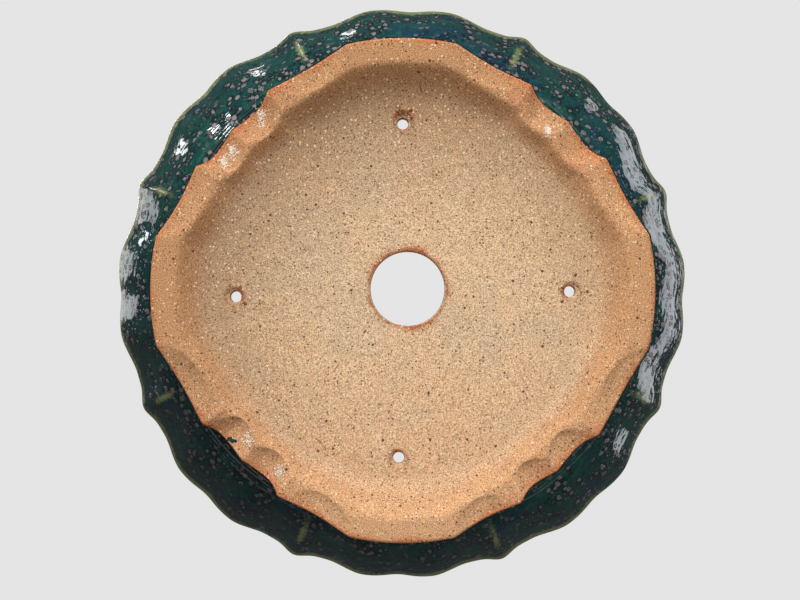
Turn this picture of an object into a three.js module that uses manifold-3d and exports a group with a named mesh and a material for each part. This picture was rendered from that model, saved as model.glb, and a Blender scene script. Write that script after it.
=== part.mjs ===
// Round bonsai pot with eight petals, standing on a foot ring that is cut into four cloud feet.
// Millimetres, +Z up. The pot's axis is Z and its feet stand on z = 0.
// Floor, wall, lip and foot ring are clay pieces, formed apart and luted together on flat seams.
// A coil of soft clay is pressed into the corner of wall and floor, to strengthen that seam.
// The glaze is a coat of glass that is fused to their outside and runs over the lip.

import * as THREE from "three";
import { mergeVertices } from "three/addons/utils/BufferGeometryUtils.js";
import Module from "manifold-3d";

const wasm = await Module();
wasm.setup();

const { clamp, degToRad, euclideanModulo, lerp, smoothstep } = THREE.MathUtils;

// Bowl
const WAIST_RADIUS = 95.2; // the neck between the foot ring and the bowl
const SHOULDER_RADIUS = 117.4; // outside of the wall, at the seat of the lip
const WALL_HEIGHT = 28; // from the floor's upper face to the seat of the lip
const WALL_THICKNESS = 6.5;
const BELLY_FULLNESS = 1.7; // 1 is a straight cone, and more swells the wall low down
const FLOOR_THICKNESS = 8;
const COIL_SIZE = 9; // how far the seam coil is smoothed out, along the floor and up the wall

// Lip
const LIP_HEIGHT = 15; // from its seat on the wall to the top of the pot
const LIP_OVERHANG = 6.6; // how far it flares out past the shoulder
const LIP_WIDTH = 9.5; // across its top
const LIP_ROLL = 2.4; // radius of its outer edge
const LIP_INNER_ROLL = 2; // radius of its inner edge

// Petals, with each radius measured from the fullest part of a petal
const PETALS = 8;
const RIB_DROP = 3.4; // how far the wall falls back on either side of a rib
const RIB_HEIGHT = 3; // the ridge between two petals, above that
const FLUTE_DEPTH = 1.3; // the shallow groove down the middle of a petal
const FLUTE_ANGLE = degToRad(3.6); // half width of the groove
const SWELL_ANGLE = degToRad(7); // from the middle of a petal to the end of its fullest part
const DIP_ANGLE = degToRad(15.5); // from the middle of a petal to the low part beside the rib
const RIB_ANGLE = degToRad(3); // half width of the ridge
const PETAL_RISE = 26; // height above the waist at which the petals are at full depth
const INSIDE_SHARE = 0.6; // how much of the petals shows inside the pot

// Foot ring
const FEET = 4;
const RING_WIDTH = 17.2; // across its seat under the floor
const FOOT_COVE = 12.5; // across the slope inside a foot, from its flat to the floor
const CREST_COVE = 7; // across the same slope half way between two feet
const CREST_RISE = 4.7; // the ring's lowest line there, from which the scallops are scooped outwards
const SCOOP_FLOOR = 0.55; // share of a scoop that lies nearly level before it falls to that line
const TOE_REACH = 11; // how far the skirt sweeps out past the waist
const SKIRT_CURVE = 1.8; // 1 is a straight skirt, and more keeps the sweep low down
const TOE_ROUND = 1.3; // the soft lower edge of the skirt, wiped clean of glaze
const RING_WEB = 2.4; // clay that is left over the crown of a scallop

// Cloud outline between two feet: a shallow scallop up to the haunch, a deep one, a middle point
const FOOT_ANGLE = degToRad(12.5); // from the middle of a foot to the end of its flat
const SHALLOW_CROWN_ANGLE = degToRad(26);
const SHALLOW_CROWN_RISE = 3.7;
const HAUNCH_ANGLE = degToRad(32.5);
const HAUNCH_RISE = 3.1;
const DEEP_CROWN_ANGLE = degToRad(38.5);
const DEEP_CROWN_RISE = 7.6;
const POINT_RISE = 5.7; // half way between two feet

// Holes in the floor
const DRAIN_RADIUS = 15.4;
const DRAIN_OFFSET = new THREE.Vector2(2, -0.8); // cut by hand, a little off the middle
const DRAIN_EDGE = 0.9; // softened corner
const WIRE_RADIUS = 2.3;
const WIRE_CIRCLE = 69.3; // distance of the wire holes from the pot's axis
const WIRE_BEARINGS = [0.3, 91.4, 177.9, 270].map(degToRad);
const CRATER_RADIUS = 4; // the burr that is pushed up round each wire hole
const CRATER_DEPTH = 1.6;

// Glaze
const GLAZE_THICKNESS = 0.7;
const GLAZE_INSIDE = 1.5; // how far it runs down the inside of the wall, below the lip

// Facets: a step falls on every rib, on every petal's middle and on every arch's point
const STEPS_ROUND = 96;
const DRAIN_STEPS = 48;
const WIRE_STEPS = 20;
const CUTTER_OVERRUN = 1; // past each face of the floor

const footHeight = DEEP_CROWN_RISE + RING_WEB;
const floorTop = footHeight + FLOOR_THICKNESS;
const lipSeat = floorTop + WALL_HEIGHT;
const potTop = lipSeat + LIP_HEIGHT;

// Turn from a bearing to the nearest of so many even divisions of the circle.
function fromNearest(angle, divisions) {
  const pitch = (2 * Math.PI) / divisions;
  return Math.abs(euclideanModulo(angle + pitch / 2, pitch) - pitch / 2);
}

const ridge = (turn, halfWidth) => Math.exp(-((turn / halfWidth) ** 2));

// How far the petals move the outline out or in, at a bearing.
function petalReach(angle) {
  const fromMiddle = fromNearest(angle, PETALS);
  const fromRib = Math.PI / PETALS - fromMiddle;
  const fallBack = RIB_DROP * smoothstep(fromMiddle, SWELL_ANGLE, DIP_ANGLE);
  const flute = FLUTE_DEPTH * ridge(fromMiddle, FLUTE_ANGLE);
  const rib = RIB_HEIGHT * ridge(fromRib, RIB_ANGLE);
  return rib - fallBack - flute;
}

// Share of its depth that a round scoop has lost, at a share of its reach from the outside.
const scoopFall = (reach) => 1 - Math.sqrt(1 - reach ** 2);

// A scallop climbs steeply from its start, rounds over its crown and falls to a point at its end.
function scallop(angle, [startAngle, start], [crownAngle, crown], [endAngle, end]) {
  const climb = clamp((angle - startAngle) / (crownAngle - startAngle), 0, 1);
  const fall = clamp((angle - crownAngle) / (endAngle - crownAngle), 0, 1);
  const belowCrown = (crown - start) * (1 - Math.sin((climb * Math.PI) / 2));
  return crown - belowCrown - (crown - end) * (1 - Math.cos((fall * Math.PI) / 2));
}

// Height of the foot ring's lower edge, at a bearing.
function ringEdge(angle) {
  const turn = fromNearest(angle, FEET);
  const haunch = [HAUNCH_ANGLE, HAUNCH_RISE];
  if (turn < HAUNCH_ANGLE) {
    return scallop(turn, [FOOT_ANGLE, 0], [SHALLOW_CROWN_ANGLE, SHALLOW_CROWN_RISE], haunch);
  }
  return scallop(turn, haunch, [DEEP_CROWN_ANGLE, DEEP_CROWN_RISE], [Math.PI / FEET, POINT_RISE]);
}

// How far a bearing is from the foot's flat towards the open gap between two feet, from 0 to 1.
const intoGap = (angle) => smoothstep(fromNearest(angle, FEET), FOOT_ANGLE, DEEP_CROWN_ANGLE);

// A point of a section is [radius, height, share of the petals that it follows].

const petalShare = (z) => smoothstep(z, footHeight, footHeight + PETAL_RISE);

// Outside of the bowl, from the waist up to the lip. The edge of the floor lies on it too.
function bowlOutside(z) {
  const up = (z - footHeight) / (lipSeat - footHeight);
  const swell = 1 - (1 - up) ** BELLY_FULLNESS;
  return [lerp(WAIST_RADIUS, SHOULDER_RADIUS, swell), z, petalShare(z)];
}

// Inside of the wall.
function bowlInside(z) {
  const [radius] = bowlOutside(z);
  return [radius - WALL_THICKNESS, z, petalShare(z) * INSIDE_SHARE];
}

// The hollow face of the seam coil, which runs out to nothing on the floor and on the wall.
function coilFace(z) {
  const [radius, , share] = bowlInside(z);
  const down = 1 - (z - floorTop) / COIL_SIZE;
  return [radius - COIL_SIZE * down ** 2, z, share];
}

// Outside of the foot ring: a skirt that sweeps out from the waist to the toe.
function skirt(z) {
  const down = 1 - z / footHeight;
  return [WAIST_RADIUS + TOE_REACH * down ** SKIRT_CURVE, z, 0];
}

// The softened edge takes less of the skirt where the ring is cut high.
const toeRound = (edge) => TOE_ROUND * (1 - edge / footHeight);

// The glazed part of the skirt, at a bearing.
function glazedSkirt(angle) {
  const edge = ringEdge(angle);
  return [0, 0.4, 1].map((up) => skirt(lerp(edge + toeRound(edge), footHeight, up)));
}

const floorEdge = [footHeight, floorTop].map(bowlOutside);

const wallOutside = [0, 0.2, 0.44, 0.7, 1].map((up) => bowlOutside(lerp(floorTop, lipSeat, up)));

const glazeEnd = lipSeat - GLAZE_INSIDE;
const coilTop = floorTop + COIL_SIZE;
const coilLevels = [coilTop, lerp(floorTop, coilTop, 0.42), floorTop];
const wallInside = [lipSeat, glazeEnd, (glazeEnd + coilTop) / 2, ...coilLevels].map(bowlInside);

// The lip's surface, from the shoulder out to its rolled edge and over to the inside of the wall.
function lipSurface() {
  const outer = SHOULDER_RADIUS + LIP_OVERHANG;
  const inner = outer - LIP_WIDTH;
  const roll = edgeRoll(outer - LIP_ROLL, LIP_ROLL, -40, 90);
  const innerRoll = edgeRoll(inner + LIP_INNER_ROLL, LIP_INNER_ROLL, 90, 170);
  const neck = new THREE.QuadraticBezierCurve(
    new THREE.Vector2(SHOULDER_RADIUS, lipSeat),
    new THREE.Vector2(SHOULDER_RADIUS + LIP_OVERHANG / 5, lerp(lipSeat, potTop, 0.42)),
    roll.getPoint(0),
  );
  const outerSide = [...neck.getPoints(2).slice(1), ...roll.getPoints(3).slice(1)];
  const innerSide = innerRoll.getPoints(1);
  return [
    bowlOutside(lipSeat),
    ...outerSide.map(({ x, y }) => [x, y, petalShare(y)]),
    ...innerSide.map(({ x, y }) => [x, y, petalShare(y) * INSIDE_SHARE]),
    bowlInside(lipSeat),
  ];
}

// A rounded edge that touches the top of the pot, between two directions in degrees.
function edgeRoll(centreRadius, radius, from, to) {
  const [start, end] = [from, to].map(degToRad);
  return new THREE.EllipseCurve(centreRadius, potTop - radius, radius, radius, start, end);
}

// Sections run anticlockwise, with the radius to the right and the height up.

const floorSection = [[0, footHeight, 0], ...floorEdge, [0, floorTop, 0]];

const wallSection = [...wallOutside, ...wallInside];

const coilSection = [...coilLevels.toReversed().map(bowlInside), ...coilLevels.slice(1).map(coilFace)];

const lipSection = lipSurface();

function ringSection(angle) {
  const edge = ringEdge(angle);
  const skirtSide = glazedSkirt(angle);
  const flatOutside = skirtSide[0][0] - toeRound(edge);
  const seatInside = WAIST_RADIUS - RING_WIDTH;
  const coveWidth = lerp(FOOT_COVE, CREST_COVE, intoGap(angle));
  const crest = CREST_RISE * intoGap(angle);
  const cove = [0, 0.3, 0.65, 1].map((out) => [
    seatInside + coveWidth * out,
    lerp(footHeight, crest, smoothstep(out, 0, 1)),
    0,
  ]);
  const scoopInside = [
    lerp(flatOutside, cove.at(-1)[0], SCOOP_FLOOR),
    lerp(edge, crest, scoopFall(SCOOP_FLOOR)),
    0,
  ];
  return [[flatOutside, edge, 0], ...skirtSide, ...cove, scoopInside];
}

// The clay's own outside, and the same points again with the glaze's thickness added.
function glazeSection(angle) {
  const clay = [
    ...glazedSkirt(angle),
    ...floorEdge.slice(1),
    ...wallOutside.slice(1),
    ...lipSection.slice(1),
    wallInside[1],
  ];
  return [...moveToRight(clay, GLAZE_THICKNESS), ...clay.toReversed()];
}

// Moves a line of section points to its right, with mitred corners.
function moveToRight(points, distance) {
  const facings = points.slice(1).map(([x, y], i) => {
    const along = new THREE.Vector2(x - points[i][0], y - points[i][1]).normalize();
    return new THREE.Vector2(along.y, -along.x);
  });
  return points.map(([x, y, share], i) => {
    const before = facings[Math.max(i - 1, 0)];
    const after = facings[Math.min(i, facings.length - 1)];
    const mitre = before.clone().add(after).normalize();
    mitre.multiplyScalar(distance / mitre.dot(after));
    return [x + mitre.x, y + mitre.y, share];
  });
}

// Carries a section once round the axis and closes it on itself. The section may change with the
// bearing, and the petals move its points as it goes.
function revolve(sectionAt) {
  const corners = sectionAt(0).length;
  const points = [];
  for (let step = 0; step < STEPS_ROUND; step++) {
    const angle = (2 * Math.PI * step) / STEPS_ROUND;
    for (const [radius, z, share] of sectionAt(angle)) {
      const reach = radius + share * petalReach(angle);
      points.push(new THREE.Vector3(reach * Math.cos(angle), reach * Math.sin(angle), z));
    }
  }
  const faces = [];
  for (let step = 0; step < STEPS_ROUND; step++) {
    const here = step * corners;
    const next = ((step + 1) % STEPS_ROUND) * corners;
    for (let corner = 0; corner < corners; corner++) {
      const after = (corner + 1) % corners;
      faces.push(...splitFacet(points, [here + corner, next + corner, next + after, here + after]));
    }
  }
  const geometry = new THREE.BufferGeometry().setFromPoints(points);
  geometry.setIndex(faces);
  return weld(geometry);
}

// Two triangles, split on the shorter diagonal, so that pieces that share a surface share its facets.
function splitFacet(points, [a, b, c, d]) {
  const ac = points[a].distanceToSquared(points[c]);
  const bd = points[b].distanceToSquared(points[d]);
  return ac < bd ? [a, b, c, a, c, d] : [a, b, d, b, c, d];
}

// One list of shared corners, without the triangles that have closed up on the axis.
function weld(geometry) {
  const welded = mergeVertices(geometry, 1e-4);
  const kept = [];
  for (let i = 0; i < welded.index.count; i += 3) {
    const triangle = welded.index.array.slice(i, i + 3);
    if (new Set(triangle).size === 3) kept.push(...triangle);
  }
  welded.setIndex(kept);
  return welded;
}

function toSolid(geometry) {
  return new wasm.Manifold(
    new wasm.Mesh({
      numProp: 3,
      vertProperties: Float32Array.from(geometry.attributes.position.array),
      triVerts: Uint32Array.from(geometry.index.array),
    }),
  );
}

function toGeometry(solid) {
  const mesh = solid.getMesh();
  const geometry = new THREE.BufferGeometry();
  geometry.setAttribute("position", new THREE.BufferAttribute(mesh.vertProperties, 3));
  geometry.setIndex(new THREE.BufferAttribute(mesh.triVerts, 1));
  return geometry;
}

// A turned cutter, given as its outline from the lower end to the upper end.
function cutter(outline, steps, place) {
  const low = outline[0].y;
  const high = outline.at(-1).y;
  const profile = [new THREE.Vector2(0, low), ...outline, new THREE.Vector2(0, high)];
  const geometry = new THREE.LatheGeometry(profile, steps);
  geometry.deleteAttribute("normal");
  geometry.deleteAttribute("uv");
  geometry.rotateX(Math.PI / 2);
  geometry.translate(place.x, place.y, 0);
  return toSolid(weld(geometry));
}

// The drain is cut straight through, and both of its corners are softened.
function drainCutter() {
  const flare = DRAIN_EDGE + CUTTER_OVERRUN;
  const outline = [
    new THREE.Vector2(DRAIN_RADIUS + flare, footHeight - CUTTER_OVERRUN),
    new THREE.Vector2(DRAIN_RADIUS, footHeight + DRAIN_EDGE),
    new THREE.Vector2(DRAIN_RADIUS, floorTop - DRAIN_EDGE),
    new THREE.Vector2(DRAIN_RADIUS + flare, floorTop + CUTTER_OVERRUN),
  ];
  return cutter(outline, DRAIN_STEPS, DRAIN_OFFSET);
}

// A wire hole is pierced from inside and leaves a shallow crater on the underside.
function wireCutter(bearing) {
  const slope = (CRATER_RADIUS - WIRE_RADIUS) / CRATER_DEPTH;
  const outline = [
    new THREE.Vector2(CRATER_RADIUS + slope * CUTTER_OVERRUN, footHeight - CUTTER_OVERRUN),
    new THREE.Vector2(WIRE_RADIUS, footHeight + CRATER_DEPTH),
    new THREE.Vector2(WIRE_RADIUS, floorTop + CUTTER_OVERRUN),
  ];
  const place = new THREE.Vector2(WIRE_CIRCLE, 0).rotateAround(new THREE.Vector2(), bearing);
  return cutter(outline, WIRE_STEPS, place);
}

function floorGeometry() {
  const slab = toSolid(revolve(() => floorSection));
  const holes = [drainCutter(), ...WIRE_BEARINGS.map(wireCutter)];
  return toGeometry(holes.reduce((solid, hole) => solid.subtract(hole), slab));
}

const buffClay = () => new THREE.MeshStandardMaterial({ color: 0xbfa27c, roughness: 0.92, metalness: 0 });

// The fire turns the clay orange where it is thin and bare.
const flashedClay = () => new THREE.MeshStandardMaterial({ color: 0xc89566, roughness: 0.88, metalness: 0 });

const tealGlaze = () => new THREE.MeshStandardMaterial({ color: 0x17484e, roughness: 0.12, metalness: 0 });

function piece(name, geometry, material) {
  geometry.computeVertexNormals();
  const mesh = new THREE.Mesh(geometry, material);
  mesh.name = name;
  return mesh;
}

const pot = new THREE.Group();
pot.add(
  piece("floor_slab", floorGeometry(), buffClay()),
  piece("bowl_wall", revolve(() => wallSection), buffClay()),
  piece("seam_coil", revolve(() => coilSection), buffClay()),
  piece("rim_lip", revolve(() => lipSection), buffClay()),
  piece("foot_ring", revolve(ringSection), flashedClay()),
  piece("glaze_coat", revolve(glazeSection), tealGlaze()),
);

export default pot;
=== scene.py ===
"""Round bonsai pot with eight petals under a teal glaze, on a clay foot ring cut into four cloud feet.

The pot is thrown and trimmed stoneware. Its underside is bare clay, flashed orange where it is thin.
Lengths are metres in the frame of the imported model: Z is the pot's axis and its feet stand on z = 0.
"""

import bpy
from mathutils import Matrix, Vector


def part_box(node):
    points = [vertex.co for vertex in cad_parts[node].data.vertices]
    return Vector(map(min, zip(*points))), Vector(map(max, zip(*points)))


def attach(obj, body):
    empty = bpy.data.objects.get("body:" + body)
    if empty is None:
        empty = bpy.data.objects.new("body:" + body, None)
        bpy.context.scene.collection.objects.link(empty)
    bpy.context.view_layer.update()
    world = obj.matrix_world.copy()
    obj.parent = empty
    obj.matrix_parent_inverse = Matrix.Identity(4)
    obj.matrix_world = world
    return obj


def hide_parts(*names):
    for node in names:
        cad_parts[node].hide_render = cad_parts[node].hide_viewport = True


bl_info = {
    "name": "Round bonsai pot",
    "version": (1, 0, 0),
    "blender": (4, 5, 0),
    "location": "3D View > Sidebar > Bonsai pot",
    "description": "Builds a glazed bonsai pot with petals and cloud feet round its packed model",
    "category": "Add Mesh",
}

import math

import bpy
import numpy as np
from bpy.props import FloatProperty, FloatVectorProperty, IntProperty
from mathutils import Matrix, Vector
from mathutils.geometry import delaunay_2d_cdt

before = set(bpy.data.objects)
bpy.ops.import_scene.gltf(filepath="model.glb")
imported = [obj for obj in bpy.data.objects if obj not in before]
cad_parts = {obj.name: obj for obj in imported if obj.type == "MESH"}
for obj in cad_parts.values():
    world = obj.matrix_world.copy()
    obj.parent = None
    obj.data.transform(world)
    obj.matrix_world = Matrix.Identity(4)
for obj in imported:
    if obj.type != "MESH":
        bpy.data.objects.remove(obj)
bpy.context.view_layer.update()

MM = 0.001
BODY = "root"

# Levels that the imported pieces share
FOOT_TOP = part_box("foot_ring")[1].z
FLOOR_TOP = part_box("floor_slab")[1].z
LIP_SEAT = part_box("rim_lip")[0].z
POT_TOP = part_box("rim_lip")[1].z
GLAZE_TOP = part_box("glaze_coat")[1].z

# Bearings at which the sections are set round the axis
STEPS_ROUND = 720
BEARINGS = np.arange(STEPS_ROUND) * (2 * np.pi / STEPS_ROUND)

# Edges that turn more sharply than this stay sharp in the shading
CREASE_ANGLE = math.radians(42)


# Sizes and colours that a user can change


def length(name, description, millimetres):
    """A length in the sidebar, written here in millimetres."""
    return FloatProperty(
        name=name, description=description, default=millimetres * MM, min=0, unit="LENGTH", precision=5
    )


def offset(name, description, millimetres):
    """A length that may be negative."""
    return FloatProperty(
        name=name, description=description, default=millimetres * MM, unit="LENGTH", precision=5
    )


def angle(name, description, degrees):
    """An angle in the sidebar, written here in degrees."""
    return FloatProperty(
        name=name, description=description, default=math.radians(degrees), min=0, subtype="ANGLE"
    )


def share(name, description, default, highest=1.0):
    """A plain number in the sidebar."""
    return FloatProperty(name=name, description=description, default=default, min=0, max=highest)


def colour(name, description, red, green, blue):
    """A colour in the sidebar, written here as 0 to 255 as a picture shows it."""
    default = [to_linear(channel / 255) for channel in (red, green, blue)]
    return FloatVectorProperty(
        name=name, description=description, default=default, size=3, min=0, max=1, subtype="COLOR"
    )


def to_linear(channel):
    """The light that a shown channel stands for."""
    return channel / 12.92 if channel <= 0.04045 else ((channel + 0.055) / 1.055) ** 2.4


class BowlSizes(bpy.types.PropertyGroup):
    waist_radius: length("Waist radius", "Neck between the foot ring and the bowl", 95.2)
    shoulder_radius: length("Shoulder radius", "Outside of the wall at the seat of the lip", 117.4)
    wall_thickness: length("Wall thickness", "Clay of the wall", 6.5)
    belly_fullness: share("Belly fullness", "1 is a straight cone, more swells low down", 1.7, 4)
    coil_size: length("Coil size", "Reach of the coil in the corner of wall and floor", 9)
    lip_overhang: length("Lip overhang", "How far the lip flares out past the shoulder", 6.6)
    lip_width: length("Lip width", "Across the top of the lip", 9.5)
    lip_roll: length("Lip roll", "Radius of the lip's outer edge", 2.4)
    lip_inner_roll: length("Lip inner roll", "Radius of the lip's inner edge", 2.0)
    glaze_inside: length("Glaze inside", "How far the glaze runs down inside, below the lip", 1.5)


class PetalSizes(bpy.types.PropertyGroup):
    count: IntProperty(name="Petals", description="Petals round the pot", default=8, min=3, max=24)
    rib_drop: length("Rib drop", "How far the wall falls back beside a rib", 3.2)
    rib_height: length("Rib height", "Ridge between two petals, above that", 2.7)
    flute_depth: length("Flute depth", "Groove down the middle of a petal", 1.4)
    flute_angle: angle("Flute angle", "Half width of the groove", 3.6)
    swell_angle: angle("Swell angle", "From a petal's middle to the end of its fullest part", 7)
    dip_angle: angle("Dip angle", "From a petal's middle to the low part beside the rib", 15.5)
    rib_angle: angle("Rib angle", "Half width of the ridge", 2.8)
    rise: length("Petal rise", "Height above the waist at which the petals are full", 26)
    inside_share: share("Inside share", "How much of the petals shows inside", 0.6)


class FootSizes(bpy.types.PropertyGroup):
    cove_inside: length("Cove inside", "Radius at which the ring rises out of the floor", 76)
    foot_face: length("Foot face", "Across the flat of a foot", 9.2)
    gap_face: length("Gap face", "Across the ring's face half way between two feet", 10.6)
    cove_hollow: share("Cove hollow", "1 is a straight slope into the floor, more is hollow", 1.95, 4)
    crest_rise: length("Crest rise", "Lowest line of the ring half way between two feet", 4.5)
    toe_reach: length("Toe reach", "How far the skirt sweeps out past the waist", 11)
    skirt_curve: share("Skirt curve", "More keeps the sweep of the skirt low down", 1.8, 4)
    toe_round: length("Toe round", "Soft lower edge that is wiped clean of glaze", 1.3)
    foot_angle: angle("Foot angle", "From the middle of a foot to the end of its flat", 12.5)
    shallow_angle: angle("Shallow crown", "Bearing of the shallow scallop's crown", 26)
    shallow_rise: length("Shallow rise", "Height of the shallow scallop", 3.7)
    haunch_angle: angle("Haunch", "Bearing of the point between the scallops", 32.5)
    haunch_rise: length("Haunch rise", "Height of that point", 3.1)
    deep_angle: angle("Deep crown", "Bearing of the deep scallop's crown", 38.5)
    deep_rise: length("Deep rise", "Height of the deep scallop", 7.6)
    point_rise: length("Point rise", "Height of the point half way between two feet", 5.7)
    scoop_reach: length("Scoop reach", "How far the deepest finger scoop runs in towards the axis", 10.8)
    scoop_depth: length("Scoop depth", "Depth of that scoop at the ring's cut edge", 3.2)
    wiped_from: angle("Wiped from", "How far below the toe's widest line the glaze ends, on average", 16)


class HoleSizes(bpy.types.PropertyGroup):
    drain_radius: length("Drain radius", "Hole in the middle of the floor", 15.4)
    drain_edge: length("Drain edge", "Softened corner of the drain", 0.9)
    wire_radius: length("Wire radius", "Holes for the wires that hold the tree", 2.3)
    wire_circle: length("Wire circle", "Distance of the wire holes from the axis", 69.3)
    crater_radius: length("Crater radius", "Dimple round a wire hole", 4.4)
    crater_depth: length("Crater depth", "Depth of that dimple at the hole", 0.9)
    crater_lean: length("Crater lean", "How far that dimple is off the hole, away from the axis", 0.9)
    burr_height: length("Burr height", "Clay pushed up beside a wire hole", 0.5)


class ClayFinish(bpy.types.PropertyGroup):
    buff: colour("Buff", "Body of the clay", 216, 185, 152)
    grey: colour("Grey", "Cooler clay in patches of the floor", 207, 180, 150)
    peach: colour("Peach", "Clay warmed by the fire", 220, 176, 138)
    brown: colour("Brown", "Browner clay of the foot ring", 200, 153, 111)
    # Painted shade: the clay is multiplied by this colour towards the foot ring and on the -X and -Y sides
    painted_shade_tint: colour("Smoke", "What the clay away from the fire is darkened by", 205, 195, 187)
    flash: colour("Flash", "Orange of thin bare edges", 190, 118, 76)
    rust: colour("Rust", "Iron round the holes", 142, 76, 40)
    speck: colour("Speck", "Iron specks", 88, 58, 38)
    ash: colour("Ash", "Beads of ash glass", 250, 243, 230)
    grog: colour("Grog", "Pale grains of fired clay", 244, 226, 196)


class GlazeFinish(bpy.types.PropertyGroup):
    teal: colour("Teal", "Body of the glaze", 27, 82, 80)
    blue: colour("Blue", "Where it lies thick", 24, 70, 96)
    green: colour("Green", "Where it lies thinner", 36, 96, 78)
    thin: colour("Thin", "Where it breaks on edges", 146, 156, 104)
    spot: colour("Spot", "Crystals in the glaze", 156, 148, 152)
    halo: colour("Halo", "Round the crystals", 18, 16, 26)


class StageSettings(bpy.types.PropertyGroup):
    distance: length("Distance", "From the camera to the feet", 900)
    aside: offset("Aside", "How far the camera stands off the axis, to the right", -6.7)
    above: offset("Above", "How far it stands off the axis, upwards", -20)
    lens: FloatProperty(name="Lens", description="Focal length in mm", default=98.82, min=10)
    pale: share("Pale", "Brightness of the backdrop", 0.78)
    flag: share("Flag", "Brightness of the dark flags that the glaze mirrors", 0.06)
    ambient: share("Ambient", "Brightness of the soft light from all round", 0.28)


# Shape rules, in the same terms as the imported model


def smoothstep(value, low, high):
    """0 below low, 1 above high and a smooth climb between."""
    along = np.clip((value - low) / (high - low), 0, 1)
    return along * along * (3 - 2 * along)


def lerp(start, end, part):
    """A value that lies so far along from start to end."""
    return start + (end - start) * part


def from_nearest(bearing, divisions):
    """Turn from a bearing to the nearest of so many even divisions of the circle."""
    pitch = 2 * np.pi / divisions
    return np.abs((bearing + pitch / 2) % pitch - pitch / 2)


def soft_max(first, second, softness):
    """The higher of two surfaces, with a rounded valley between them."""
    near = np.clip(0.5 + (second - first) / (2 * softness), 0, 1)
    return lerp(first, second, near) + softness * near * (1 - near)


def uneven_line(bearing, seed, orders, size):
    """An uneven line round the pot, about as high and low as size."""
    random = np.random.default_rng(seed)
    total = 0 * bearing
    for order in orders:
        total = total + random.uniform(0.5, 1) * np.cos(order * bearing + random.uniform(0, 2 * np.pi))
    return size * total / math.sqrt(len(orders))


def uneven_surface(x, y, seed, wavelength, size):
    """A softly uneven surface over the plan, about as high and low as size."""
    random = np.random.default_rng(seed)
    waves = 9
    total = 0 * x
    for _ in range(waves):
        heading = random.uniform(0, 2 * np.pi)
        pace = 2 * np.pi / (wavelength * random.uniform(0.6, 1.6))
        along = x * math.cos(heading) + y * math.sin(heading)
        total = total + np.cos(along * pace + random.uniform(0, 2 * np.pi))
    return size * total / math.sqrt(waves)


# How far each rib and each cut is off its even division, in degrees, and how deep each cut is beside the
# depth that the sizes give, all from bearing 0 on
RIB_LEANS = (1.5, 1.9, 0, -1.5, 0, -0.5, 3.5, 1.5)
CUT_LEANS = (4.5, -1.5, -2.0, -0.5)
CUT_DEPTHS = (0.80, 1.12, 1.06, 0.88)


def petal_bearing(bearing, count):
    """The bearing on evenly set petals that a bearing on this uneven pot stands for."""
    ribs = (np.arange(count) + 0.5) * (2 * np.pi / count)
    leans = np.radians(np.resize(RIB_LEANS, count))
    return bearing - np.interp(bearing, ribs, leans, period=2 * np.pi)


def petal_share(z, petals):
    """How fully the petals show at a height."""
    return smoothstep(z, FOOT_TOP, FOOT_TOP + petals.rise)


def bowl_outside(bowl, z):
    """Radius of the wall's outside, and of the floor's edge."""
    up = (z - FOOT_TOP) / (LIP_SEAT - FOOT_TOP)
    return lerp(bowl.waist_radius, bowl.shoulder_radius, 1 - (1 - up) ** bowl.belly_fullness)


def bowl_inside(bowl, z):
    """Radius of the wall's inside."""
    return bowl_outside(bowl, z) - bowl.wall_thickness


def skirt(bowl, foot, z):
    """Radius of the foot ring's outside, which sweeps out from the waist to the toe."""
    return bowl.waist_radius + foot.toe_reach * (1 - z / FOOT_TOP) ** foot.skirt_curve


def scallop(turn, start, crown, end):
    """Climbs steeply from its start, rounds over its crown and falls to a point at its end."""
    climb = np.clip((turn - start[0]) / (crown[0] - start[0]), 0, 1)
    fall = np.clip((turn - crown[0]) / (end[0] - crown[0]), 0, 1)
    below_crown = (crown[1] - start[1]) * (1 - np.sin(climb * np.pi / 2))
    return crown[1] - below_crown - (crown[1] - end[1]) * (1 - np.cos(fall * np.pi / 2))


def cut_terms(bearing):
    """Turn from the middle of the nearest foot, with the cut's lean taken out, and the cut's depth."""
    feet = len(CUT_LEANS)
    quarter = 2 * np.pi / feet
    gap = np.floor(bearing / quarter).astype(int) % feet
    nearness = np.sin(bearing * feet / 2) ** 2
    straight = bearing - np.radians(CUT_LEANS)[gap] * nearness
    return from_nearest(straight, feet), lerp(1, np.array(CUT_DEPTHS)[gap], nearness)


def ring_edge(foot, bearing):
    """Height of the foot ring's cut edge."""
    turn, depth = cut_terms(bearing)
    haunch = (foot.haunch_angle, foot.haunch_rise)
    shallow = scallop(turn, (foot.foot_angle, 0), (foot.shallow_angle, foot.shallow_rise), haunch)
    point = (np.pi / len(CUT_LEANS), foot.point_rise)
    deep = scallop(turn, haunch, (foot.deep_angle, foot.deep_rise), point)
    return np.where(turn < foot.haunch_angle, shallow, deep) * depth


def into_gap(foot, bearing):
    """0 on a foot's flat, 1 where the ring is cut deepest."""
    turn, _ = cut_terms(bearing)
    return smoothstep(turn, foot.foot_angle, foot.deep_angle)


# Sections: arrays of radius and height, which run anticlockwise with the radius to the right


def arc(radius_at, z_at, size, start, end, steps):
    """A round stretch of a section, between two directions in degrees."""
    turn = np.radians(np.linspace(start, end, steps))
    return np.column_stack([radius_at + size * np.cos(turn), z_at + size * np.sin(turn)])


def bend(start, control, end, steps):
    """A stretch of a section that leaves start and reaches end towards one control point."""
    along = np.linspace(0, 1, steps)[:, None]
    return (1 - along) ** 2 * start + 2 * along * (1 - along) * control + along**2 * end


def stretch(start, end, steps):
    """A straight stretch of a section."""
    return lerp(np.array(start), np.array(end), np.linspace(0, 1, steps)[:, None])


def column(radius, z):
    """A section of given radii and heights."""
    return np.column_stack([radius, z])


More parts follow.
